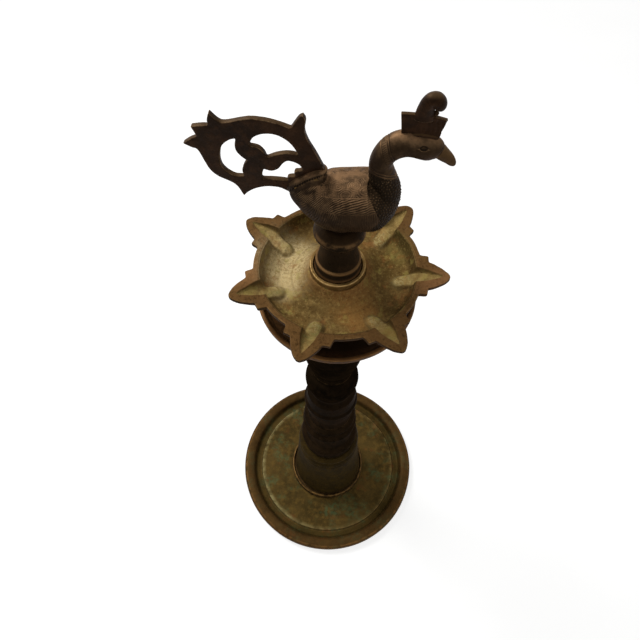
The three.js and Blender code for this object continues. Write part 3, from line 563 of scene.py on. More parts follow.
def dish_section():
    """One seventh of the star dish, with a spout at its middle, and where its channel is."""
    stops = [0, 6.6, 9.6, 11, 14.2, 17.4, 180 / SPOUTS]
    half_turns = np.radians(stretches(stops, [22, 5, 6, 8, 11, 6]))
    turns = np.concatenate([-half_turns[:0:-1], half_turns])
    pan = stretches([COLLAR, 30, 42.6, PAN_EDGE], [16, 26, 10])
    edge_x = np.array([-0.25, -0.08, 0, 0, 0, -0.2])
    edge_z = np.array([-0.06, -0.22, -0.5, -1.3, -2.1, -2.4])
    points, wick, rim = [], [], []
    for turn in turns:
        reach = edge_reach(turn)
        top = np.concatenate([pan, np.linspace(PAN_EDGE, reach - 0.5, 30)[1:]])
        along, across = top * math.cos(turn), top * math.sin(turn)
        height = np.interp(top, pan_line[:, 0], pan_line[:, 1])
        inside, floor = channel(along, across)
        height = height * (1 - inside) + floor * inside
        height -= 0.3 * np.exp(-(((top - 44.2) / 0.3) ** 2)) * (1 - inside)

        # The underside, with a keel below each spout, and the wall at the collar
        below = np.linspace(reach - 0.6, COLLAR, 26)
        under = np.interp(below, under_line[:, 0], under_line[:, 1])
        keel_along, keel_across = below * math.cos(turn), below * math.sin(turn)
        keel_half = np.interp(keel_along, [34, 60], [8, 1.4])
        keel_deep = np.interp(keel_along, [34, 60], [10, 1.5])
        bow = np.sqrt(np.clip(1 - (keel_across / keel_half) ** 2, 0, 1))
        keel = np.where(keel_along < 60, 363 - keel_deep * bow, 365)
        under = np.minimum(under, keel)
        wall = np.linspace(350.5, 363.5, 8)[1:-1]
        radius = np.concatenate([top, reach + edge_x, below, np.full(len(wall), COLLAR)])
        up = np.concatenate([height, RIM_TOP + edge_z, under, wall])
        points.append(np.stack([radius * math.cos(turn), radius * math.sin(turn), up], axis=1))
        wick.append(np.concatenate([inside, np.zeros(len(radius) - len(top))]))
        flat_top = step_between(43.2, PAN_EDGE, top) * (1 - inside)
        hidden = np.zeros(len(below) + len(wall))
        rim.append(np.concatenate([flat_top, np.ones(len(edge_x)), hidden]))
    mesh = raw_mesh("dish_section", np.vstack(points), quads(len(turns), len(wick[0])))
    keep(mesh, "wick", np.concatenate(wick))
    keep(mesh, "rim", np.concatenate(rim))
    return mesh


def repeat_round(name):
    """A Geometry Nodes tree that repeats a section round the stem's axis and welds it."""
    tree = bpy.data.node_groups.new(name, "GeometryNodeTree")
    inputs = {"Geometry": "Geometry", "Count": "Int", "Finish": "Material"}
    for label, kind in inputs.items():
        tree.interface.new_socket(label, in_out="INPUT", socket_type="NodeSocket" + kind)
    tree.interface.new_socket("Geometry", in_out="OUTPUT", socket_type="NodeSocketGeometry")
    graph = Graph(tree)
    section, count, finish = [graph.add("NodeGroupInput", {}, label) for label in inputs]
    points = graph.add("GeometryNodePoints", {"Count": count})
    turn = graph.add("GeometryNodeInputIndex", {}) * (2 * math.pi) / count
    about = graph.add("ShaderNodeCombineXYZ", {"Z": turn})
    copies = {"Points": points, "Instance": section, "Rotation": about}
    ring = graph.add("GeometryNodeInstanceOnPoints", copies)
    real = graph.add("GeometryNodeRealizeInstances", {0: ring})
    weld = graph.add("GeometryNodeMergeByDistance", {0: real, "Distance": 0.02 * mm})
    coat = graph.add("GeometryNodeSetMaterial", {"Geometry": weld, "Material": finish})
    graph.add("NodeGroupOutput", {0: coat})
    return tree


def as_made(holder):
    """The plain mesh that an object makes with its modifiers, in place of the object."""
    graph = bpy.context.evaluated_depsgraph_get()
    mesh = bpy.data.meshes.new_from_object(holder.evaluated_get(graph))
    bpy.data.objects.remove(holder)
    return mesh


def made_by(tree, mesh, inputs):
    """The plain mesh that a Geometry Nodes tree makes of a mesh, with its inputs set by name."""
    holder = placed(mesh.name, mesh)
    modifier = holder.modifiers.new(tree.name, "NODES")
    modifier.node_group = tree
    for item in tree.interface.items_tree:
        if item.item_type == "SOCKET" and item.in_out == "INPUT" and item.name in inputs:
            modifier[item.identifier] = inputs[item.name]
    return as_made(holder)


def move_points(mesh, places):
    """Puts the points of a mesh in new places, in metres, and shades it smooth."""
    mesh.vertices.foreach_set("co", places.astype(np.float32).ravel())
    mesh.shade_smooth()
    mesh.update()


pan = Bronze("dish_patina", "574221 755a30 977b48 b3945f 2c200e", seed=71, dirt=0.7, top=0.2)
frost = pan.noise(1.7, 5, 77, roughness=0.75)
reach = pan.reach()
rim = pan.attribute("rim")
in_channel = pan.attribute("wick")


def blot(x, y, size):
    """A cloudy patch of about size mm about a place on the dish, seen from above."""
    ragged = pan.mottle * 0.7 + pan.clouds * 0.8 - 0.75
    return (pan.reach(x, y) / size + ragged).fade(0.5, 1.5)


pan.patch(blot(-32, 5, 18) * (frost.band(0.38, 0.6) * 0.7 + 0.3), "dcc591")
pan.patch(blot(-30, -12, 8) * 0.5, "cfb987")
# A dark patch on the right of the pan: partly a stain, partly the bird's painted shadow
pan.patch(blot(27, 14, 13) * 0.7, "4c3a1a")
pan.patch(blot(12, -20, 13) * 0.5, "9a6f3c")
pan.patch(blot(36, 22, 9) * 0.4, "8f8046")
pan.patch(blot(14, -25, 9) * 0.6, "a67a42")
pan.patch(rim * (pan.mottle * 0.5 + 0.4), "603f24")
pan.patch(rim * frost.band(0.5, 0.68) * 0.5, "3f2c17")
# Painted light on the spout tips at the left and the right
pan.patch(rim * (blot(57, -9, 12) + blot(-57, -9, 12)) * 0.55, "a2744a")
# Painted shade on the rim's faces that do not look up
pan.patch(rim * pan.upward.fade(0.3, 0.8) * 0.75, "21160c")
streaks = pan.noise(4, 4, 79, roughness=0.7).band(0.4, 0.6)
pan.patch(in_channel * (0.1 + frost.band(0.42, 0.6) * 0.3 + streaks * 0.35), "bda264")
pan.patch(in_channel * reach.fade(35, 45) * frost.band(0.45, 0.6) * 0.6, "cfbd84")
pan.patch(in_channel * pan.clouds.band(0.5, 0.62) * pan.mottle.band(0.4, 0.6) * 0.5, "7c7c46")
# Painted shade along the sides of each wick channel
pan.patch(in_channel * (1 - in_channel) * (1.2 + streaks), "3a2b14")
pan.patch(reach.fade(16.5, 22) * pan.mottle * 0.9, "8a6036")
# Painted shade on the pan's wall under the rim's inner edge
wall = reach.strip(39, 42, 43.4, 44.4) * (1 - in_channel)
pan.patch(wall * (pan.mottle * 0.5 + 0.3), "2e2110")
blooms = pan.noise(9, 5, 81).band(0.52, 0.64) * pan.mottle.band(0.4, 0.6)
pan.patch(blooms * (1 - rim) * 0.45, "8b562c")
pan.patch(pan.noise(7, 5, 83).band(0.54, 0.66) * (1 - rim) * 0.4, "a3954f")
pan.tool_rings(1.4, 0.07)
pan.patch(pan.rings.band(0.5, 0.7) * reach.fade(38, 42) * 0.3, "5a4222")
pan.patch(frost.band(0.52, 0.66) * 0.45, "35260f")
pan.patch(frost.fade(0.36, 0.46) * (1 - rim) * 0.35, "b39a5e")
pan.normal = pan.bump(frost, 0.45, pan.normal)
dish_patina = pan.done(0.62, 0.22, 0.4)

spouts = repeat_round("spouts_round_the_dish")
star_mesh = made_by(spouts, dish_section(), {"Count": SPOUTS, "Finish": dish_patina})
star_mesh.name = "star_dish_cast"
star_points = places_of(star_mesh) / mm
lift = unevenness(star_points, 15, 73) * 0.14 + unevenness(star_points, 4, 74) * 0.12
sway = unevenness(star_points * [1, 1, 0], 60, 75) * 0.25
star_points[:, 2] += np.minimum(lift, 0.1) - 0.1
star_points[:, :2] *= (1 + (sway - 0.25) / 60)[:, None]
move_points(star_mesh, star_points * mm)
mark_edges(star_mesh)
settle(star_mesh, "oil_dish", "star_dish", dish_patina)

# Finial spool and knob
# A flared spool that stands in the hub's collar and a turned knob under the bird. The bird's tang
# goes through both and clamps them.
spindle = Bronze("spool_patina", "16100a 251b11 382819 6b5033 0b0805", seed=85, top=0.5)
up_spindle = spindle.along("Z")
spindle.patch(up_spindle.strip(371, 372.2, 372.6, 373.4) * 0.8, "80603c")
spindle.patch(up_spindle.fade(366.8, 368.4) * 0.7, "6e4f2f")
spindle.tool_rings(0.9)
spool_patina = spindle.done(0.6, 0.08)
turn_piece("spool", "finial_spool", spool_patina, [
    (6.4, 362.4, 0.3), (13, 362.4, 0.4), (12.9, 367, 0.6), (12, 369.6, ROUND), (12.5, 371.3),
    (12.4, 372.5, 0.4), (11.3, 372.9), (10.4, 377.8, ROUND), (9.6, 383.6, ROUND), (8.8, 388.4),
    (6.4, 388.4, 0.3),
], seed=81)

turn_piece("bird", "finial_knob", spool_patina, [
    (4.6, 388.9, 0.3), (8.8, 388.9), (11.6, 390.9, ROUND), (14.1, 394.6, ROUND),
    (11.8, 398.3, ROUND), (8.4, 399.7, 0.6), (4.6, 399.7, 0.3),
], seed=83)

# Bird's body
# A cast body with chased curls on the wings, slanted feathers on the flanks, long strokes below and
# small beads on the breast. A cuff on the rump, with a rolled lip and a toothed line under it,
# holds the tail plate.
BIRD_Z = 414.2


def smooth_rows(rows, count):
    """Rows of numbers that a smooth curve passes through, taken again in even steps."""
    rows = np.array(rows, float)
    ends = np.vstack([2 * rows[0] - rows[1], rows, 2 * rows[-1] - rows[-2]])
    place = np.linspace(0, len(rows) - 1, count)
    i = np.minimum(place.astype(int), len(rows) - 2)
    f = (place - i)[:, None]
    a, b, c, d = ends[i], ends[i + 1], ends[i + 2], ends[i + 3]
    curve = 2 * b + (c - a) * f + (2 * a - 5 * b + 4 * c - d) * f**2
    return 0.5 * (curve + (3 * b - a - 3 * c + d) * f**3)


def limb(stations, count, sides=48):
    """Points and faces of a rounded form along the bird's middle plane. Each station has its
    place along, its height, its half-width across and its half-height, in mm."""
    rows = smooth_rows(stations, count)
    rows[:, 2:] = np.maximum(rows[:, 2:], 0.05)
    course = np.gradient(rows[:, :2], axis=0)
    course /= np.linalg.norm(course, axis=1)[:, None]
    turns = np.arange(sides) * 2 * math.pi / sides
    side, rise = np.cos(turns), np.sin(turns)
    points = []
    for (along, up, half, tall), (cx, cz) in zip(rows, course):
        x = along - cz * tall * rise
        points.append(np.stack([x, half * side, BIRD_Z + up + cx * tall * rise], axis=1))
    points = np.vstack(points)
    ends = [tuple(range(sides)), tuple(range(len(points) - 1, len(points) - 1 - sides, -1))]
    return points, quads(count, sides) + ends


def melted(name, parts, voxel, rounds):
    """Closed forms melted into one skin of even small faces."""
    points, faces, start = [], [], 0
    for part_points, part_faces in parts:
        closed = mesh_of("part", part_points, part_faces)
        points.append(places_of(closed) / mm)
        faces += [tuple(start + v for v in face.vertices) for face in closed.polygons]
        start += len(part_points)
        bpy.data.meshes.remove(closed)
    holder = placed(name, raw_mesh(name, np.vstack(points), faces))
    remesh = holder.modifiers.new("melt", "REMESH")
    remesh.mode = "VOXEL"
    remesh.voxel_size = voxel * mm
    result = as_made(holder)
    result.name = name
    ends = neighbours(result)
    evened = [spread(values, ends, rounds) for values in places_of(result).T]
    move_points(result, np.stack(evened, axis=1))
    return result


def press(mesh, depth):
    """Moves each point along its normal by depth, in mm."""
    move_points(mesh, places_of(mesh) + places_of(mesh, "normal") * depth[:, None] * mm)


def chased(phase, spacing):
    """Narrow grooves one spacing apart in a phase in mm: 0 between them and 1 in each."""
    return (0.5 + 0.5 * np.cos(phase * 2 * math.pi / spacing)) ** 1.5


def fine_line(gap, width=0.3):
    """1 where the gap is 0 and next to nothing two widths away."""
    return np.exp(-((gap / width) ** 2))


def skin_of(mesh):
    """The points of a mesh, and how far each lies along, beside and above the bird, in mm."""
    points = places_of(mesh) / mm
    return points, points[:, 0], np.abs(points[:, 1]), points[:, 2] - BIRD_Z


def above_breast(points):
    """How far each point lies above the line that parts the neck from the breast, in mm."""
    rise = points[:, 2] - BIRD_Z - 27.6
    return (rise + 0.25 * points[:, 0] - 0.36 * np.abs(points[:, 1])) / 1.09


def scattered(points, spacing, seed):
    """Some of the points, taken in a chance order, no two of them nearer than spacing."""
    kept = np.full((1, 3), 1e6)
    for point in np.random.default_rng(seed).permutation(points):
        if ((kept - point) ** 2).sum(axis=1).min() > spacing**2:
            kept = np.vstack([kept, point])
    return kept[1:]


def breast_relief(points, breast):
    """Small beads all over the breast, and the double line that ends it on the neck."""
    beaded = np.flatnonzero(breast > 0.5)
    beads = scattered(points[beaded], 1.2, 93)
    to_bead = KDTree(len(beads))
    for i, place in enumerate(beads):
        to_bead.insert(place, i)
    to_bead.balance()
    gap = np.array([to_bead.find(place)[2] for place in points[beaded]])
    depth = -0.3 * fine_line(np.abs(above_breast(points)) - 0.6) * (points[:, 0] > 8)
    depth[beaded] += 0.36 * fine_line(gap, 0.45) - 0.2
    return depth


body_stations = [
    (-24, 6.4, 2.2, 2.2), (-21.5, 5.4, 5, 5), (-18.2, 4.6, 7.5, 7.5), (-14, 3.6, 10.3, 10.3),
    (-11, 3.2, 12.1, 12.1), (-7, 2.6, 14.2, 14.2), (-2.4, 2.2, 15, 15), (3.5, 2.7, 15.2, 15.2),
    (10.8, 3.8, 15.2, 15.2), (14.5, 4.2, 14.8, 14.8), (18, 5.2, 13.1, 13.1), (21.4, 6.4, 10, 10),
    (24.2, 7.6, 6.3, 6.3), (26, 8.4, 3.2, 3.2), (26.7, 8.8, 1.2, 1.2),
]
root_stations = [
    (20.4, 8, 7.6, 7.2), (19.8, 13, 7.2, 7.1), (18.5, 17.6, 6.5, 6.6), (17.6, 21.4, 6, 6.1),
]
foot_stations = [(0, -13.9, 7, 7), (0, -11, 7, 7), (0, -8, 7, 7)]
lip_stations = [
    (-7, 20.2, 1.4, 0.7), (-8, 20.4, 3, 1), (-9.9, 20.3, 4, 1.2), (-12.8, 19.2, 4.3, 1.2),
    (-15.7, 17.5, 4.3, 1.2), (-18.7, 15.2, 4.2, 1.2), (-21.5, 12.6, 3.8, 1.2), (-24, 10, 3, 1.2),
    (-25.2, 8.8, 1.5, 0.7),
]
wall_stations = [
    (-7.2, 16.6, 1.5, 2.2), (-9, 15.8, 3.8, 4.7), (-13, 14, 4.25, 5.3), (-17.5, 11.4, 4.25, 5.3),
    (-21, 8.8, 4.1, 4.9), (-23.8, 6.9, 3, 3.7), (-25, 6.1, 1.4, 1.8),
]
flare_stations = [
    (-8, 13.6, 3, 1.6), (-10, 13.2, 5.2, 2.6), (-13.5, 11.6, 5.8, 3), (-17.5, 8.8, 5.6, 3),
    (-20.5, 6.8, 4.8, 2.6), (-23, 6, 3.2, 1.8),
]
body_parts = [limb(body_stations, 80, 64), limb(root_stations, 24), limb(foot_stations, 12)]
body_parts += [limb(stations, 40) for stations in (lip_stations, wall_stations, flare_stations)]
body_mesh = melted("bird_body_chased", body_parts, 0.28, 6)
skin, along, beside, level = skin_of(body_mesh)
rows = np.array(body_stations)
middle = np.interp(along, rows[:, 0], rows[:, 1])
radius = np.interp(along, rows[:, 0], rows[:, 3])
mean_radius = 16.2
arc = mean_radius * np.arctan2(beside, level - middle)
proud = np.hypot(beside, level - middle) - radius
on_body = 1 - step_between(0.3, 0.9, proud)

# Each wing curl is a spiral about its own middle, given as its place along and round the body
curls = np.array([(-8, 6.5), (-1.5, 6), (6, 5.5), (10.6, 8.6), (-4.6, 10.2), (2.4, 10.2)])
from_curls = np.stack([along, arc], axis=1)[:, None, :] - curls
gaps = np.linalg.norm(from_curls, axis=2)
nearest = gaps.argmin(axis=1)
offset = from_curls[np.arange(len(skin)), nearest]
spiral = gaps.min(axis=1) + np.arctan2(offset[:, 1], offset[:, 0]) / (2 * math.pi)

breast_edge = np.interp(arc, [0, 8, 20, 33], [12, 12, 17, 21])
behind_breast = 1 - step_between(-0.5, 0.1, along - breast_edge)
before_rump = step_between(-12, -10.5, along)
wing = strip(arc, 1.2, 1.9, 11.2, 11.8) * before_rump
on_rump = (1 - before_rump) * (1 - step_between(19, 20, arc))
flank = np.maximum(strip(arc, 11.8, 12.4, 19.4, 20), on_rump)
below = strip(arc, 20, 20.6, 38, 42)
slant = np.interp(along, [-24, -4, 2, 18], [-30, 0, 5.4, 14.2])
flank_phase = (level - 1.07 * beside - slant) / 1.6
shake = unevenness(skin, 9, 94) * 0.22 + unevenness(skin, 3.5, 95) * 0.12
lines = wing * 0.9 * chased(spiral + shake * 1.4, 1) + flank * chased(flank_phase + shake, 1)
lines += below * chased(along * (1 - 0.012 * (arc - 20)) + 0.12 * arc + shake, 0.95)
lines *= 0.75 + 0.25 * unevenness(skin, 5, 96)
lines += 0.4 * (fine_line(arc - 11.5) + fine_line(arc - 19.8)) * before_rump
relief = -0.3 * np.clip(lines, 0, 1) * on_body * behind_breast

breast = np.where(on_body > 0.5, 1 - behind_breast, along > 8)
breast = breast * (1 - step_between(-1.7, -1.1, above_breast(skin)))
relief -= 0.3 * fine_line(along - breast_edge) * on_body * (1 - step_between(38, 42, arc))
relief += breast_relief(skin, breast)

# The undercut of the cuff's lip, with its teeth
stops = [-25.5, -23.9, -21.6, -18.5, -15.6, -11.9, -9.1, -7.5]
undercut = np.interp(along, stops, [7.4, 8.7, 11.2, 13.9, 16.2, 18.3, 19.2, 19.6])
on_side = step_between(1.5, 2.2, beside) * strip(along, -26.5, -25.5, -8.2, -7.2)
teeth = 0.62 + 0.38 * np.cos(along * 1.25 * 2 * math.pi / 1.4)
toothed = fine_line((level - undercut) / 1.25, 0.6) * teeth * on_side
relief -= 0.5 * toothed

press(body_mesh, relief)
mark_edges(body_mesh, 1, 0.8)
keep(body_mesh, "breast", breast)
keep(body_mesh, "undercut", toothed)
feather = Bronze("bird_patina", "32251a 4a3927 745a40 b3926c 0f0b07", seed=91, wear=0.6, top=0.6)
# Faces that look up get lighter blotches: partly wiped metal, partly painted light from above
wiped_and_lit = feather.upward.band(0.55, 0.9) * feather.mottle.band(0.35, 0.6)
feather.patch(wiped_and_lit * 0.5, "93704f")
# Painted shade: faces that look sideways or down are darker
feather.patch(feather.upward.fade(0.15, 0.75) * 0.6, "1f150d")
feather.patch(feather.clouds.band(0.5, 0.64) * feather.mottle * 0.5, "2a1a12")
# The breast is darker: partly its own dark patina, partly painted shade under the head and neck
feather.patch(feather.attribute("breast") * (1 - feather.worn * 0.5) * 0.85, "17110a")
# Painted shade in the toothed undercut under the cuff's lip; on the head the same mark darkens the
# eye
feather.patch(feather.attribute("undercut").band(0.2, 0.7) * 0.85, "0c0805")
feather.patch(feather.attribute("beak") * feather.mottle * 0.7, "6e5230")
bird_patina = feather.done(0.44, 0.26, gloss=0.08)
settle(body_mesh, "bird", "bird_body", bird_patina)

# Bird's neck and head
# Cast in one with the body on the real lamp: a round bent neck with chased rings, a smooth head
# with an engraved eye, and a short hooked beak.
neck_stations = [
    (18, 19.4, 6.3, 6.4), (17.2, 22.6, 5.8, 5.9), (16.4, 26.4, 5.3, 5.35), (16.6, 29.8, 5.2, 5.25),
    (17.9, 33.2, 5.2, 5.4), (20.2, 36.4, 5.2, 5.8), (23.2, 38.6, 5.2, 6.1), (26.4, 39.5, 5.2, 6),
    (29.6, 39.3, 5.2, 5.8), (32.6, 38.9, 5.4, 5.95), (35.4, 38.4, 5.2, 6), (37.8, 37.9, 4.4, 5.3),
    (39.6, 37.4, 3.4, 4.2), (41, 36.9, 2, 2.6),
]
beak_stations = [
    (38.6, 38.2, 3.2, 3.6), (41.4, 35.7, 2.8, 3.2), (43.3, 34.2, 2.3, 2.9), (44.9, 32.8, 1.8, 2.5),
    (46.2, 31.3, 1.4, 2), (47, 30.2, 1, 1.4), (47.4, 29.4, 0.4, 0.5),
]
neck_parts = [limb(neck_stations, 90), limb(beak_stations, 30)]
neck_mesh = melted("bird_neck_chased", neck_parts, 0.2, 12)
skin, along, beside, level = skin_of(neck_mesh)
breast = (above_breast(skin) < -1.4) * (along > 8) * (level < 29)
relief = breast_relief(skin, breast)

# The chased rings lie on both sides of a leaning plane that cuts the neck
run, rise = along - 19.4, level - 37.8
lean_along, lean_up = 0.925, 0.38
off = run * lean_along + rise * lean_up
up_ring = rise * lean_along - run * lean_up
neck_radius = 5.3
round_neck = neck_radius * np.arctan2(skin[:, 1], up_ring)
near = 1 - step_between(8.5, 9.5, np.hypot(beside, up_ring))
relief -= 0.26 * fine_line(np.abs(off) - 0.5, 0.25) * near
hatched = strip(off, -3.1, -2.8, -1, -0.7) * near
relief -= 0.16 * chased(round_neck + off * 0.8, 0.95) * hatched
relief -= 0.2 * fine_line(off + 3.3, 0.25) * near

# The eye lies a little above the middle of the head's side
head_radius, eye_along, eye_turn = 5.5, 32.9, 0.46
from_eye = np.abs(along - eye_along)
up_head = head_radius * (np.arctan2(level - 38.9, beside) - eye_turn)
on_head = (beside > 1) & (from_eye < 6)
eye = np.where(on_head, np.hypot(from_eye / 1.4, up_head / 0.9), 9)
relief += 0.22 * fine_line(eye, 0.5) - 0.32 * fine_line(eye - 1, 0.26)
slit = fine_line(up_head, 0.22) * strip(from_eye, 1.4, 1.7, 2.3, 2.8)
relief -= 0.2 * slit * on_head

root_of_beak = (along - 39.8) * 0.8 - (level - 37.4) * 0.6
relief -= 0.22 * fine_line(root_of_beak, 0.35) * (along > 36)
press(neck_mesh, relief)
mark_edges(neck_mesh, 1, 0.6)
keep(neck_mesh, "breast", breast)
keep(neck_mesh, "undercut", 0.6 * (1 - step_between(1, 1.5, eye)))
keep(neck_mesh, "beak", step_between(0, 0.8, root_of_beak) * (along > 37))
settle(neck_mesh, "bird", "bird_neck_and_head", bird_patina)

# Crest
# A flat plate with two pointed tabs that rises from the head, and a comma-shaped curl on it. Both
# are cast, filed and set into the head.
file_round = 0.3


def cut_plate(name, lines, thickness, voxel, limbs=()):
    """A plate in the bird's middle plane with rounded limbs melted on to it. Its closed lines are
    the outline and the openings, each of smooth runs that meet at sharp corners. A run starts where
    the one before it ends."""
    drawing = bpy.data.curves.new(name, "CURVE")
    drawing.dimensions = "2D"
    drawing.fill_mode = "BOTH"
    drawing.extrude = (thickness / 2 - file_round) * mm
    drawing.bevel_depth = file_round * mm
    drawing.bevel_resolution = 2
    drawing.offset = -file_round * mm
    for runs in lines:
        runs = [[before[-1], *run] for before, run in zip([runs[-1], *runs], runs)]
        line = np.vstack([smooth_rows(run, 8 * len(run) - 7)[:-1] for run in runs])
        spline = drawing.splines.new("POLY")
        spline.points.add(len(line) - 1)
        spline.use_cyclic_u = True
        for point, (along, up) in zip(spline.points, line):
            point.co = (along * mm, (up + BIRD_Z) * mm, 0, 1)
    mesh = as_made(placed(name, drawing))
    mesh.transform(Matrix.Rotation(math.pi / 2, 4, "X"))
    shell = bmesh.new()
    shell.from_mesh(mesh)
    bmesh.ops.remove_doubles(shell, verts=shell.verts, dist=0.001 * mm)
    points = [v.co / mm for v in shell.verts]
    shell.verts.index_update()
    faces = [tuple(v.index for v in face.verts) for face in shell.faces]
    shell.free()
    return melted(name, [(points, faces), *limbs], voxel, 3)


crest_runs = [
    [(22.6, 48), (21.7, 54.4)],
    [(26.2, 54.6)],
    [(36.3, 53.9)],
    [(40.5, 52.9)],
    [(39.4, 48.6), (38.6, 43.5)],
    [(31, 42), (23.1, 43.5)],
]
crest_foot = [
    (23.4, 43.6, 0.7, 0.5), (24.6, 44, 1.7, 0.9), (31, 44.9, 2, 1), (37.4, 44.2, 1.7, 0.9),
    (38.6, 43.8, 0.7, 0.5),
]
crest_bead = [
    (34.1, 55.3, 0.3, 0.3), (34.7, 55.4, 1, 1), (35.3, 55.4, 1.2, 1.2), (35.9, 55.4, 1, 1),
    (36.5, 55.3, 0.3, 0.3),
]
crest_limbs = [limb(crest_foot, 30), limb(crest_bead, 16)]
crest_mesh = cut_plate("crest_plate_filed", [crest_runs], 1.9, 0.2, crest_limbs)
_, along, _, level = skin_of(crest_mesh)
fluted = strip(level, 46.2, 47, 52.2, 53)
press(crest_mesh, -0.2 * chased(along - 31 + 0.1 * (level - 50), 1.9) * fluted)
mark_edges(crest_mesh, 1, 0.5)
filed = Bronze("tail_patina", "1f140d 2e1d12 422c1d 94795a 0e0805", seed=95, top=0.3)
# Faces that look up are lighter: partly painted light from above, partly wear on the filed edges
filed.patch(filed.upward.band(0.5, 0.95) * (filed.mottle * 0.7 + 0.2), "5f4a31")
plate_patina = filed.done(0.42, 0.12)
settle(crest_mesh, "bird", "crest_plate", plate_patina)

curl_stations = [
    (31, 52, 2.2, 4.2), (31, 54.5, 2.3, 3.9), (31.1, 57, 2.6, 3.5), (31.5, 59.5, 2.9, 3.1),
    (32.6, 61.4, 3, 2.8), (34.4, 61.6, 3.1, 3), (35.5, 60.2, 3.1, 3.2), (35.6, 58.6, 2.8, 2.9),
    (35.3, 57.6, 1.6, 1.6),
]
curl_mesh = melted("crest_curl_cast", [limb(curl_stations, 60, 36)], 0.2, 6)
mark_edges(curl_mesh, 2, 1)
settle(curl_mesh, "bird", "crest_curl", plate_patina)

# Tail plate
# A flat pierced plate with pointed tips, filed from sheet, that fits in the cuff. Its opening
# holds three curled arms.
tail_runs = [
    [(-11.8, 29.9), (-15.3, 36.8), (-16.7, 42.1), (-16.2, 47.3), (-17.4, 49.8)],
    [(-19.4, 48.3), (-22.7, 42.9)],
    [(-27.1, 44.4), (-32.6, 45.7), (-39, 46), (-43.4, 45.1), (-50.6, 43), (-53.5, 43.7),
     (-56.8, 47.4)],
    [(-58.1, 43.5), (-58.1, 40.6)],
    [(-61.5, 40.3), (-65.9, 39.3)],
    [(-64, 34.1)],
    [(-67.4, 32.4), (-71.1, 29.6)],
    [(-67.4, 27.7), (-65, 26.6), (-63, 20.4), (-61.2, 15.4), (-57.8, 11.6), (-50.4, 7.4),
     (-46.9, 0.2)],
    [(-44.2, 3.3), (-40.1, 6.1), (-34.6, 7.9), (-29.2, 7.8), (-25.4, 6)],
    [(-20, 7), (-12, 12.6), (-7.4, 14.4)],
    [(-7.4, 20.1)],
]
rear_opening = [
    [(-50.1, 33.5), (-53.8, 29.6), (-55.5, 22.4), (-54.5, 16.9), (-50.1, 13.1), (-45.3, 13.1)],
    [(-46, 16.8), (-44.3, 21.3), (-42.7, 22.6)],
    [(-45.1, 24.5), (-47.4, 27.6), (-47.8, 31), (-47, 34.8)],
]
upper_opening = [
    [(-38.8, 36.4), (-34.3, 38.6), (-28.5, 38.4), (-23.2, 34.7), (-19.6, 28.6)],
    [(-24.3, 29.2), (-29.5, 27.9), (-34, 25.5)],
    [(-35, 28.4), (-37.4, 30.9), (-40.9, 31.6)],
    [(-41.1, 32.4), (-40.8, 33.2)],
]
lower_opening = [
    [(-32.4, 17.9), (-29.2, 19.5), (-26.7, 23.1), (-24.2, 24.7), (-20.1, 23.4), (-17.8, 20.4)],
    [(-19.6, 19.4), (-21.6, 18.9), (-22, 17.3), (-21.2, 15.9)],
    [(-23.2, 15.6), (-25, 14.9), (-25.3, 13.7), (-24.6, 12.6)],
    [(-29.5, 13), (-37.1, 12.5)],
    [(-37, 14.8), (-35.9, 18.6)],
]
tail_lines = [tail_runs, rear_opening, upper_opening, lower_opening]
tail_mesh = cut_plate("tail_plate_filed", tail_lines, 2.6, 0.3)
mark_edges(tail_mesh, 1, 1)
settle(tail_mesh, "bird", "tail_plate", plate_patina)

# Hidden threads and pins
# The base stud, the bird's tang and the two tail pins are plain turned bronze. They keep the
# shapes of their solids.
worked = Paint("turned_bronze")
fine = worked.noise(4, 4, 5, (1, 1, 0.05))
skin = worked.mix(fine, tone("4a3820"), tone("7a6038"))
turned_bronze = worked.finish(skin, fine * 0.3 + 0.3, fine * 0.2 + 0.7, worked.bump(fine, 0.05))
for name in ("base_stud", "bird_tang", "tail_pin_front", "tail_pin_rear"):
    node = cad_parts[name]
    node.data.materials.clear()
    node.data.materials.append(turned_bronze)

# Room
# A white floor in soft studio light, and the camera that looks down on the lamp from its side.
scene = bpy.context.scene
scene.view_settings.view_transform = "Standard"

half = 4000
floor_corners = [(-half, -half, 0), (half, -half, 0), (half, half, 0), (-half, half, 0)]
floor_mesh = raw_mesh("floor", floor_corners, [(0, 1, 2, 3)])
floor = placed("floor", floor_mesh)
ground = Paint("white_floor")


def seen_plainly(graph):
    """1 for what is seen straight on, in a shiny face or through a clear one, and 0 for light."""
    kinds = ("Is Camera Ray", "Is Glossy Ray", "Is Transmission Ray")
    rays = [graph.add("ShaderNodeLightPath", {}, kind) for kind in kinds]
    return sum(rays).sum("MINIMUM", 1)


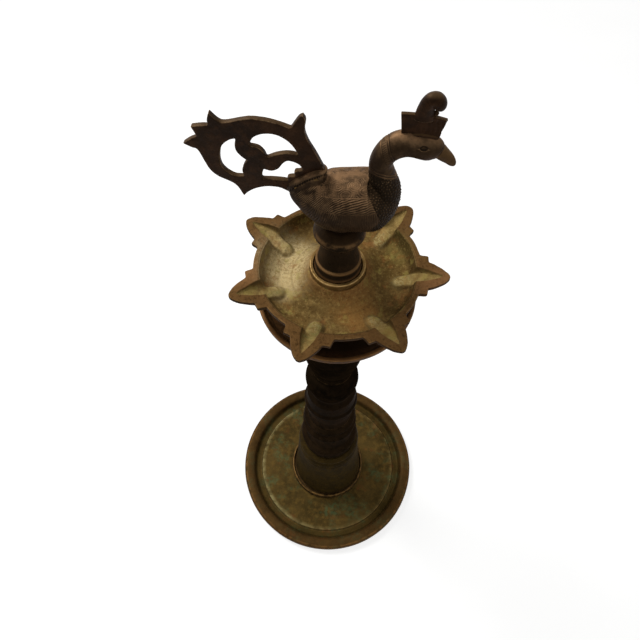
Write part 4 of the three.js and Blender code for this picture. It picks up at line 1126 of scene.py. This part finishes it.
pale = ground.mix(ground.noise(60, 2, 1), tone("b4b4b2"), tone("bcbcba"))
glow = ground.mix(seen_plainly(ground), tone("000000"), tone("ffffff"))
lit = {"Base Color": pale, "Roughness": 0.9, "Emission Color": glow, "Emission Strength": 0.76}
ground_skin = ground.add("ShaderNodeBsdfPrincipled", lit)
ground.add("ShaderNodeOutputMaterial", {"Surface": ground_skin})
floor_mesh.materials.append(ground.material)

world = bpy.data.worlds.new("studio")
scene.world = world
world.use_nodes = True
air = Graph(world.node_tree)
ambient, backdrop = 0.26, 1
power = seen_plainly(air) * (backdrop - ambient) + ambient
sky = air.add("ShaderNodeBackground", {"Color": (1, 1, 1, 1), "Strength": power})
air.add("ShaderNodeOutputWorld", {"Surface": sky})


def lamp(name, place, aim, size, watts):
    light = bpy.data.lights.new(name, "AREA")
    light.shape = "DISK"
    light.size = size
    light.energy = watts
    holder = placed(name, light)
    holder.location = place
    holder.rotation_euler = (Vector(aim) - Vector(place)).to_track_quat("-Z", "Y").to_euler()


lamp("key_light", (-0.62, 0.34, 1.12), (0, 0, 0.3), 0.5, 8)
lamp("fill_light", (0.5, -0.9, 0.75), (0, 0, 0.3), 0.6, 1.4)

# The camera's angles and its focal length in pixels of the photograph, solved from its ellipses
yaw, pitch, roll = math.radians(-6.30), math.radians(58.754), math.radians(-0.604)
focal_pixels, picture_pixels = 567.126, 640
flat = math.cos(pitch)
forward = Vector((math.sin(yaw) * flat, math.cos(yaw) * flat, -math.sin(pitch)))
right = Vector((math.cos(yaw), -math.sin(yaw), 0))
down = forward.cross(right)
across = right * math.cos(roll) + down * math.sin(roll)
lower = down * math.cos(roll) - right * math.sin(roll)
view = bpy.data.cameras.new("camera")
view.sensor_width = 36
view.lens = focal_pixels / picture_pixels * view.sensor_width
view.clip_start, view.clip_end = 0.01, 20
camera = placed("camera", view)
turn = Matrix((across, -lower, -forward)).transposed()
camera.matrix_world = Matrix.Translation((0.0112, -0.1885, 0.6171)) @ turn.to_4x4()
scene.camera = camera
